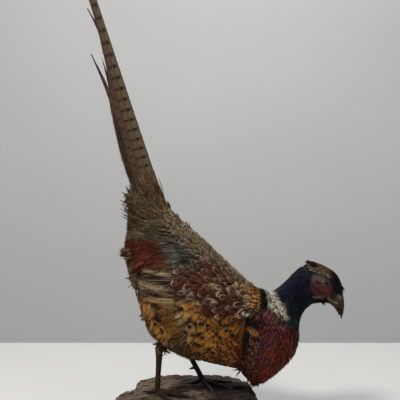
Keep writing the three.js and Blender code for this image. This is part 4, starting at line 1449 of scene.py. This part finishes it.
def make_bunches(ground, finishes):
    dice = np.random.default_rng(SEED + 70)
    shapes = [hair_shape(dice, 6) for _ in range(2)]
    batches = []
    for root, tip, count, spread, width, mirrored, dark, light in BUNCHES.values():
        place = ground.under(root)
        if place is None:  # the root lies just off the outline
            beside = [[(root[0] - AXIS_PIXEL) * PIXEL, -0.01, VIEW_TOP - PIXEL * root[1]]]
            place = ground.nearest(np.array(beside))[0][0]
        for side in (1, -1) if mirrored else (1,):
            mirror = np.array((1, side, 1))
            starts, out = ground.nearest(place + dice.normal(0, spread * MM / 2, (count, 3)))
            run = np.array(((tip[0] - root[0]) * PIXEL, 0, (root[1] - tip[1]) * PIXEL))
            long = np.linalg.norm(run) * dice.uniform(0.75, 1.12, count)
            way = unit(unit(run)[None] + dice.normal(0, 0.13, (count, 3)) + 0.12 * out)
            path = [x * mirror for x in line_paths(starts, way, long, out, -0.08 * out)]
            tone = np.exp(dice.normal(0, 0.2, (count, 1)))
            own = shapes if side > 0 else [mirrored_shape(shape) for shape in shapes]
            batches += dealt(own, path, width, 1.0, 0.6, bake_place(starts * mirror),
                             pigment(dark) * tone, pigment(light) * tone, dice)
    finish_piece(build("coat_bunches", batches, finishes["hair"]), "body_feathers")


def mirrored_shape(shape):
    other = Shape()
    other.__dict__.update(shape.__dict__)
    other.faces = [tuple(reversed(face)) for face in shape.faces]
    return other


# ------------------------------------------------------------------ legs

SLAB_TOP = 48
TOE_GROUND = 48.35
LEGS = {  # knee, hock and ankle, way the spur points, toes as heading in degrees and length
    "right": (((-24, -36, 130), (-38, -31, 113), (-41, -31, 57)), (-0.45, 0.85, -0.25),
              {"inner": (16, 34), "middle": (-18, 44), "outer": (-58, 35), "hind": (152, 16)}),
    "left": (((0, 34, 128), (-10, 29, 113), (20, 26, 57)), (-0.92, -0.3, -0.25),
             {"inner": (-72, 34), "middle": (-38, 44), "outer": (6, 35), "hind": (190, 16)}),
}
LEG_RADII = (6.2, 5.8, 5.8, 4.4, 3.6, 3.8, 4.8)
TOE_RADII = (3.4, 3.2, 2.95, 2.8, 2.1)
TOE_LIFT = ((0.0, 8), (0.3, 5.4), (0.55, 4.0), (0.8, 3.3), (1.0, 2.9))  # share of the toe, height
CLAW_RADII = (1.7, 1.75, 1.3, 0.35)
CLAW_HOOK = ((3.4, 0.7), (7.6, 0.2), (10.8, -1.9))  # how far past the toe, height
SPUR_RADII = (2.7, 1.7, 0.4)
RING = 2.9  # between the rings of scales, in mm


def scutes(angle, t):
    return 1 + 0.05 * (1 - abs(2 * ((t * 19) % 1) - 1)) * max(0.0, math.cos(angle))


def joints_of_toe(angle, t):
    return 1 + 0.09 * math.cos(2 * math.pi * t * 3 + 0.5) - 0.05 * max(0.0, math.sin(angle))


def leg_finish(name, light, dark):
    finish = Finish("leg_scales_" + name, 0.5, Specular_IOR_Level=0.15)
    cell = finish.cells(420, feature="DISTANCE_TO_EDGE")
    height = finish.node("SeparateXYZ", {0: finish.place()}).outputs[2]
    rings = finish.maths("SINE", finish.times(height, 2 * math.pi / (RING * MM)))
    plate = finish.times(finish.ramp(cell, 0.0, 0.2), finish.ramp(rings, -1.0, -0.6))
    finish.bump(plate, 0.4 * MM, 0.8)
    grain = finish.speckle(240, 4)
    base = finish.mix(finish.ramp(grain, 0.35, 0.65), light, dark)
    return finish.paint(finish.mix(finish.ramp(plate, 0.5, 0.1), base, "#17110c"))


def claw_finish():
    finish = Finish("claw_horn", 0.35)
    grain = finish.speckle(300, 3)
    finish.bump(grain, 0.1 * MM, 0.4)
    return finish.paint(finish.mix(grain, "#2a211b", "#120e0b"))


def make_legs():
    horn = claw_finish()
    # painted shade: the left leg, on the far side from the camera, gets darker scales than the right leg,
    # though both legs are alike
    coats = {"right": leg_finish("right", "#482c12", "#1e1208"),
             "left": leg_finish("left", "#2a2521", "#161311")}
    for name, (bones, spur, toes) in LEGS.items():
        knee, hock, ankle = (Vector(bone) for bone in bones)
        foot = Vector((ankle.x, ankle.y, SLAB_TOP + 7))
        line = [knee, knee.lerp(hock, 0.6), hock, hock.lerp(ankle, 0.25), hock.lerp(ankle, 0.6), ankle, foot]
        parts = [tube(line, LEG_RADII, 18, 90, scutes)]
        claws = {}
        for toe, (heading, length) in toes.items():
            way = Vector((math.cos(math.radians(heading)), math.sin(math.radians(heading)), 0))
            path = [Vector((ankle.x, ankle.y, TOE_GROUND + z)) + way * (length * r) for r, z in TOE_LIFT]
            parts.append(tube(path, TOE_RADII, 14, 44, joints_of_toe, 0.95))
            size = 0.7 if toe == "hind" else 1.0
            tip = path[-1]
            hook = [tip - way * 2 + Vector((0, 0, 0.1))]
            hook += [tip + way * (far * size) + Vector((0, 0, z)) for far, z in CLAW_HOOK]
            claws[toe] = tube(hook, CLAW_RADII, 12, 24)
        mesh = merged(parts, "leg_skin_" + name)
        finish_piece(new_piece("leg_skin_" + name, mesh, coats[name]), "leg_scales", "leg_" + name)
        for toe, bm in claws.items():
            label = f"claw_horn_{name}_{toe}"
            finish_piece(new_piece(label, merged([bm], label), horn), "claw_horn", f"claw_{name}_{toe}")
        way = Vector(spur).normalized()
        root = hock.lerp(ankle, 0.7) + way * 1.2
        bend = root + way * 5.4
        tip = root + way * 9.6
        tip.z = bend.z - 1
        label = "spur_horn_" + name
        mesh = merged([tube([root, bend, tip], SPUR_RADII, 12, 20)], label)
        finish_piece(new_piece(label, mesh, horn), "claw_horn", "spur_" + name)


# ------------------------------------------------------------------ slab of weathered wood

GRAIN_WAY = Vector((0.86, 0.42, 0.28)).normalized()
GRAIN_STRETCH = 0.68
DEEPEST = 5.2  # in mm


def slab_finish():
    finish = Finish("weathered_wood", 0.85, Specular_IOR_Level=0.2)
    place = finish.node("VectorRotate", {"Vector": finish.place(), "Angle": math.radians(-26)},
                        rotation_type="Z_AXIS").outputs[0]
    fibre = finish.speckle(46, 6, place, (0.45, 3.2, 2.0), 0.7)
    fine = finish.speckle(160, 5, place, (0.25, 3.5, 2.5), 0.6)
    patch = finish.speckle(18, 3)
    height = finish.add(fibre, finish.times(fine, 0.5))
    finish.bump(height, 3.4 * MM, 1.0)
    # dark where the fibre noise is low, which are also the hollows of its bump: dark cracks of the grain and
    # painted shade in the hollows
    base = finish.mix(finish.ramp(fibre, 0.45, 0.55), "#120d0a", "#66564a")
    base = finish.mix(finish.ramp(fine, 0.42, 0.62), base, finish.mix(0.6, base, "#8c7868"))
    base = finish.mix(finish.times(finish.ramp(patch, 0.45, 0.6), 0.5), base, "#3c2c22")
    # painted shade: darker where the Tint set in make_slab is low, in the sunk crevices
    base = finish.mix(finish.ramp(finish.tint(), 0.82, 0.3), base, "#0e0b09")
    # darker right part of the slab, under the breast: dark wood and a painted shadow of the bird
    parts = finish.node("SeparateXYZ", {0: finish.place()})
    dark_wood_and_shadow = finish.add(parts.outputs[0], finish.times(patch, 0.03))
    dark_wood_and_shadow = finish.times(finish.ramp(dark_wood_and_shadow, 0.03, 0.055), finish.ramp(parts.outputs[1], 0.06, 0.02))
    return finish.paint(finish.mix(finish.times(dark_wood_and_shadow, 0.75), base, "#0f0c0b"))


def make_slab():
    piece = new_piece("wood", from_bmesh(copy_of("base_slab"), "wood"))
    remesh = piece.modifiers.new("even", "REMESH")
    remesh.mode = "VOXEL"
    remesh.voxel_size = 1.9 * MM
    mesh = applied(piece)
    points, normals = positions(mesh), vertex_normals(mesh)
    feet = []
    for bones, _, toes in LEGS.values():
        for heading, length in toes.values():
            angle = math.radians(heading)
            for share in np.linspace(0, 1.3, 7):
                feet.append((bones[2][0] + length * share * math.cos(angle),
                             bones[2][1] + length * share * math.sin(angle)))
    feet = np.array(feet) * MM
    close = np.linalg.norm(points[:, None, :2] - feet[None], axis=2).min(1)
    calm = np.clip((close - 0.003) / 0.006, 0.12, 1)
    calm = np.where(normals[:, 2] < 0.5, 1, calm)
    calm = np.where(points[:, 2] < 0.002, 0, calm)
    sunk = np.empty(len(points))
    for k, p in enumerate(points):
        spot = Vector(p)
        flow = spot - GRAIN_WAY * (spot.dot(GRAIN_WAY) * GRAIN_STRETCH)
        ridge = abs(noise.noise(flow * 95)) + 0.45 * abs(noise.noise(flow * 230))
        crack = abs(noise.noise(flow * 48 + Vector((3, 1, 7))))
        split = max(0.0, 1 - crack / 0.05)
        sunk[k] = 2.6 * (1 - min(ridge * 2.2, 1)) + 4.0 * split + 3.0 * max(0.0, noise.noise(spot * 24))
    # painted shade in the crevices: the deeper a point is sunk, the darker its Tint, except close to the feet
    crevice_lit_share = np.clip(1.25 - sunk / DEEPEST, 0, 1)
    move_to(mesh, points - normals * (sunk * calm * 1.25)[:, None] * MM)
    set_tint(mesh, np.repeat(np.where(calm > 0.3, crevice_lit_share, 1)[:, None], 3, 1))
    shade_smooth(mesh)
    mesh.materials.append(slab_finish())
    finish_piece(piece, "weathered_wood", "base_slab")


# ------------------------------------------------------------------ the stage

FLOOR_START = -2.4
FLOOR_END = 0.75  # where the floor ends, in front of the wall
EDGE = 0.2  # radius of its rounded end
WALL = 2.3
LIGHTS = {  # place, what it is aimed at, size, power, colour
    "key": ((-0.7, -1.3, 2.0), (0, 0, 0.25), 0.6, 46, (1.0, 0.97, 0.92)),
    "fill": ((1.7, -1.8, 1.1), (0, 0, 0.3), 1.6, 5, (0.9, 0.95, 1.0)),
    "wall_light": ((0.2, 0.9, 2.4), (0, WALL, 0.6), 1.2, 16, (1.0, 1.0, 1.0)),
    "top": ((0.1, 0.3, 2.4), (0, 0, 0.2), 1.6, 26, (1.0, 1.0, 1.0)),
}


def table_top(u, t):
    """Flat for the first half, then rounded down over its far edge."""
    turn = math.pi / 2 * max(0.0, 2 * t - 1)
    flat = min(1.0, 2 * t)
    y = (FLOOR_END - EDGE - FLOOR_START) * flat + FLOOR_START + EDGE * math.sin(turn)
    return Vector((5 * u - 2.5, y, EDGE * (math.cos(turn) - 1)))


def back_wall(u, t):
    return Vector((9 * u - 4.5, WALL, 6 * t - 2))


def make_stage():
    floor = new_piece("floor", from_bmesh(surface(1, 48, table_top), "floor"))
    shade_smooth(floor.data)
    finish = Finish("pale_floor", 0.9)
    floor.data.materials.append(finish.paint(finish.mix(finish.speckle(3, 3), "#b8b8b6", "#c0c0be")))
    wall = new_piece("wall", from_bmesh(surface(1, 1, back_wall), "wall"))
    finish = Finish("pale_wall", 0.95)
    wall.data.materials.append(finish.paint(finish.mix(finish.speckle(1.6, 2), "#c0c0be", "#c8c8c6")))


def make_lights():
    world = bpy.data.worlds.new("studio")
    world.use_nodes = True
    world.node_tree.nodes["Background"].inputs["Color"].default_value = (0.92, 0.95, 1.0, 1)
    world.node_tree.nodes["Background"].inputs["Strength"].default_value = 0.3
    bpy.context.scene.world = world
    for name, (place, aim, size, power, tone) in LIGHTS.items():
        data = bpy.data.lights.new(name, "AREA")
        data.shape = "DISK"
        data.size = size
        data.energy = power
        data.color = tone
        lamp = bpy.data.objects.new(name, data)
        lamp.location = place
        lamp.rotation_euler = (Vector(aim) - Vector(place)).to_track_quat("-Z", "Y").to_euler()
        bpy.context.scene.collection.objects.link(lamp)
    bpy.context.scene.view_settings.view_transform = "Standard"


# ------------------------------------------------------------------ assembly

make_camera()
make_stage()
make_lights()
skin = make_skin()
skin_points = positions(skin.data)
_, _, skin_base, skin_mark = plumage(skin_points)
set_tint(skin.data, marked(skin_points, skin_base))
set_tint(skin.data, marked(skin_points, skin_mark), "Mark")
skin.data.materials.append(skin_finish())
finish_piece(skin, "body_feathers", *FLESH)
ground = Ground(skin.data)
roots = plant(ground)
kinds = KIND[plumage(roots)[0]]
finishes = {kind: body_finish(kind) for kind in GROWTH}
for kind in GROWTH:
    grow(ground, kind, roots[kinds == kind], finishes)
make_tail()
tail_dice = np.random.default_rng(SEED + 50)
make_tail_coverts(tail_dice, finishes)
make_tail_fringe(tail_dice, finishes)
make_bill()
for side in (-1, 1):
    make_eye(side)
make_ear_tufts(finishes)
make_bunches(ground, finishes)
make_legs()
make_slab()
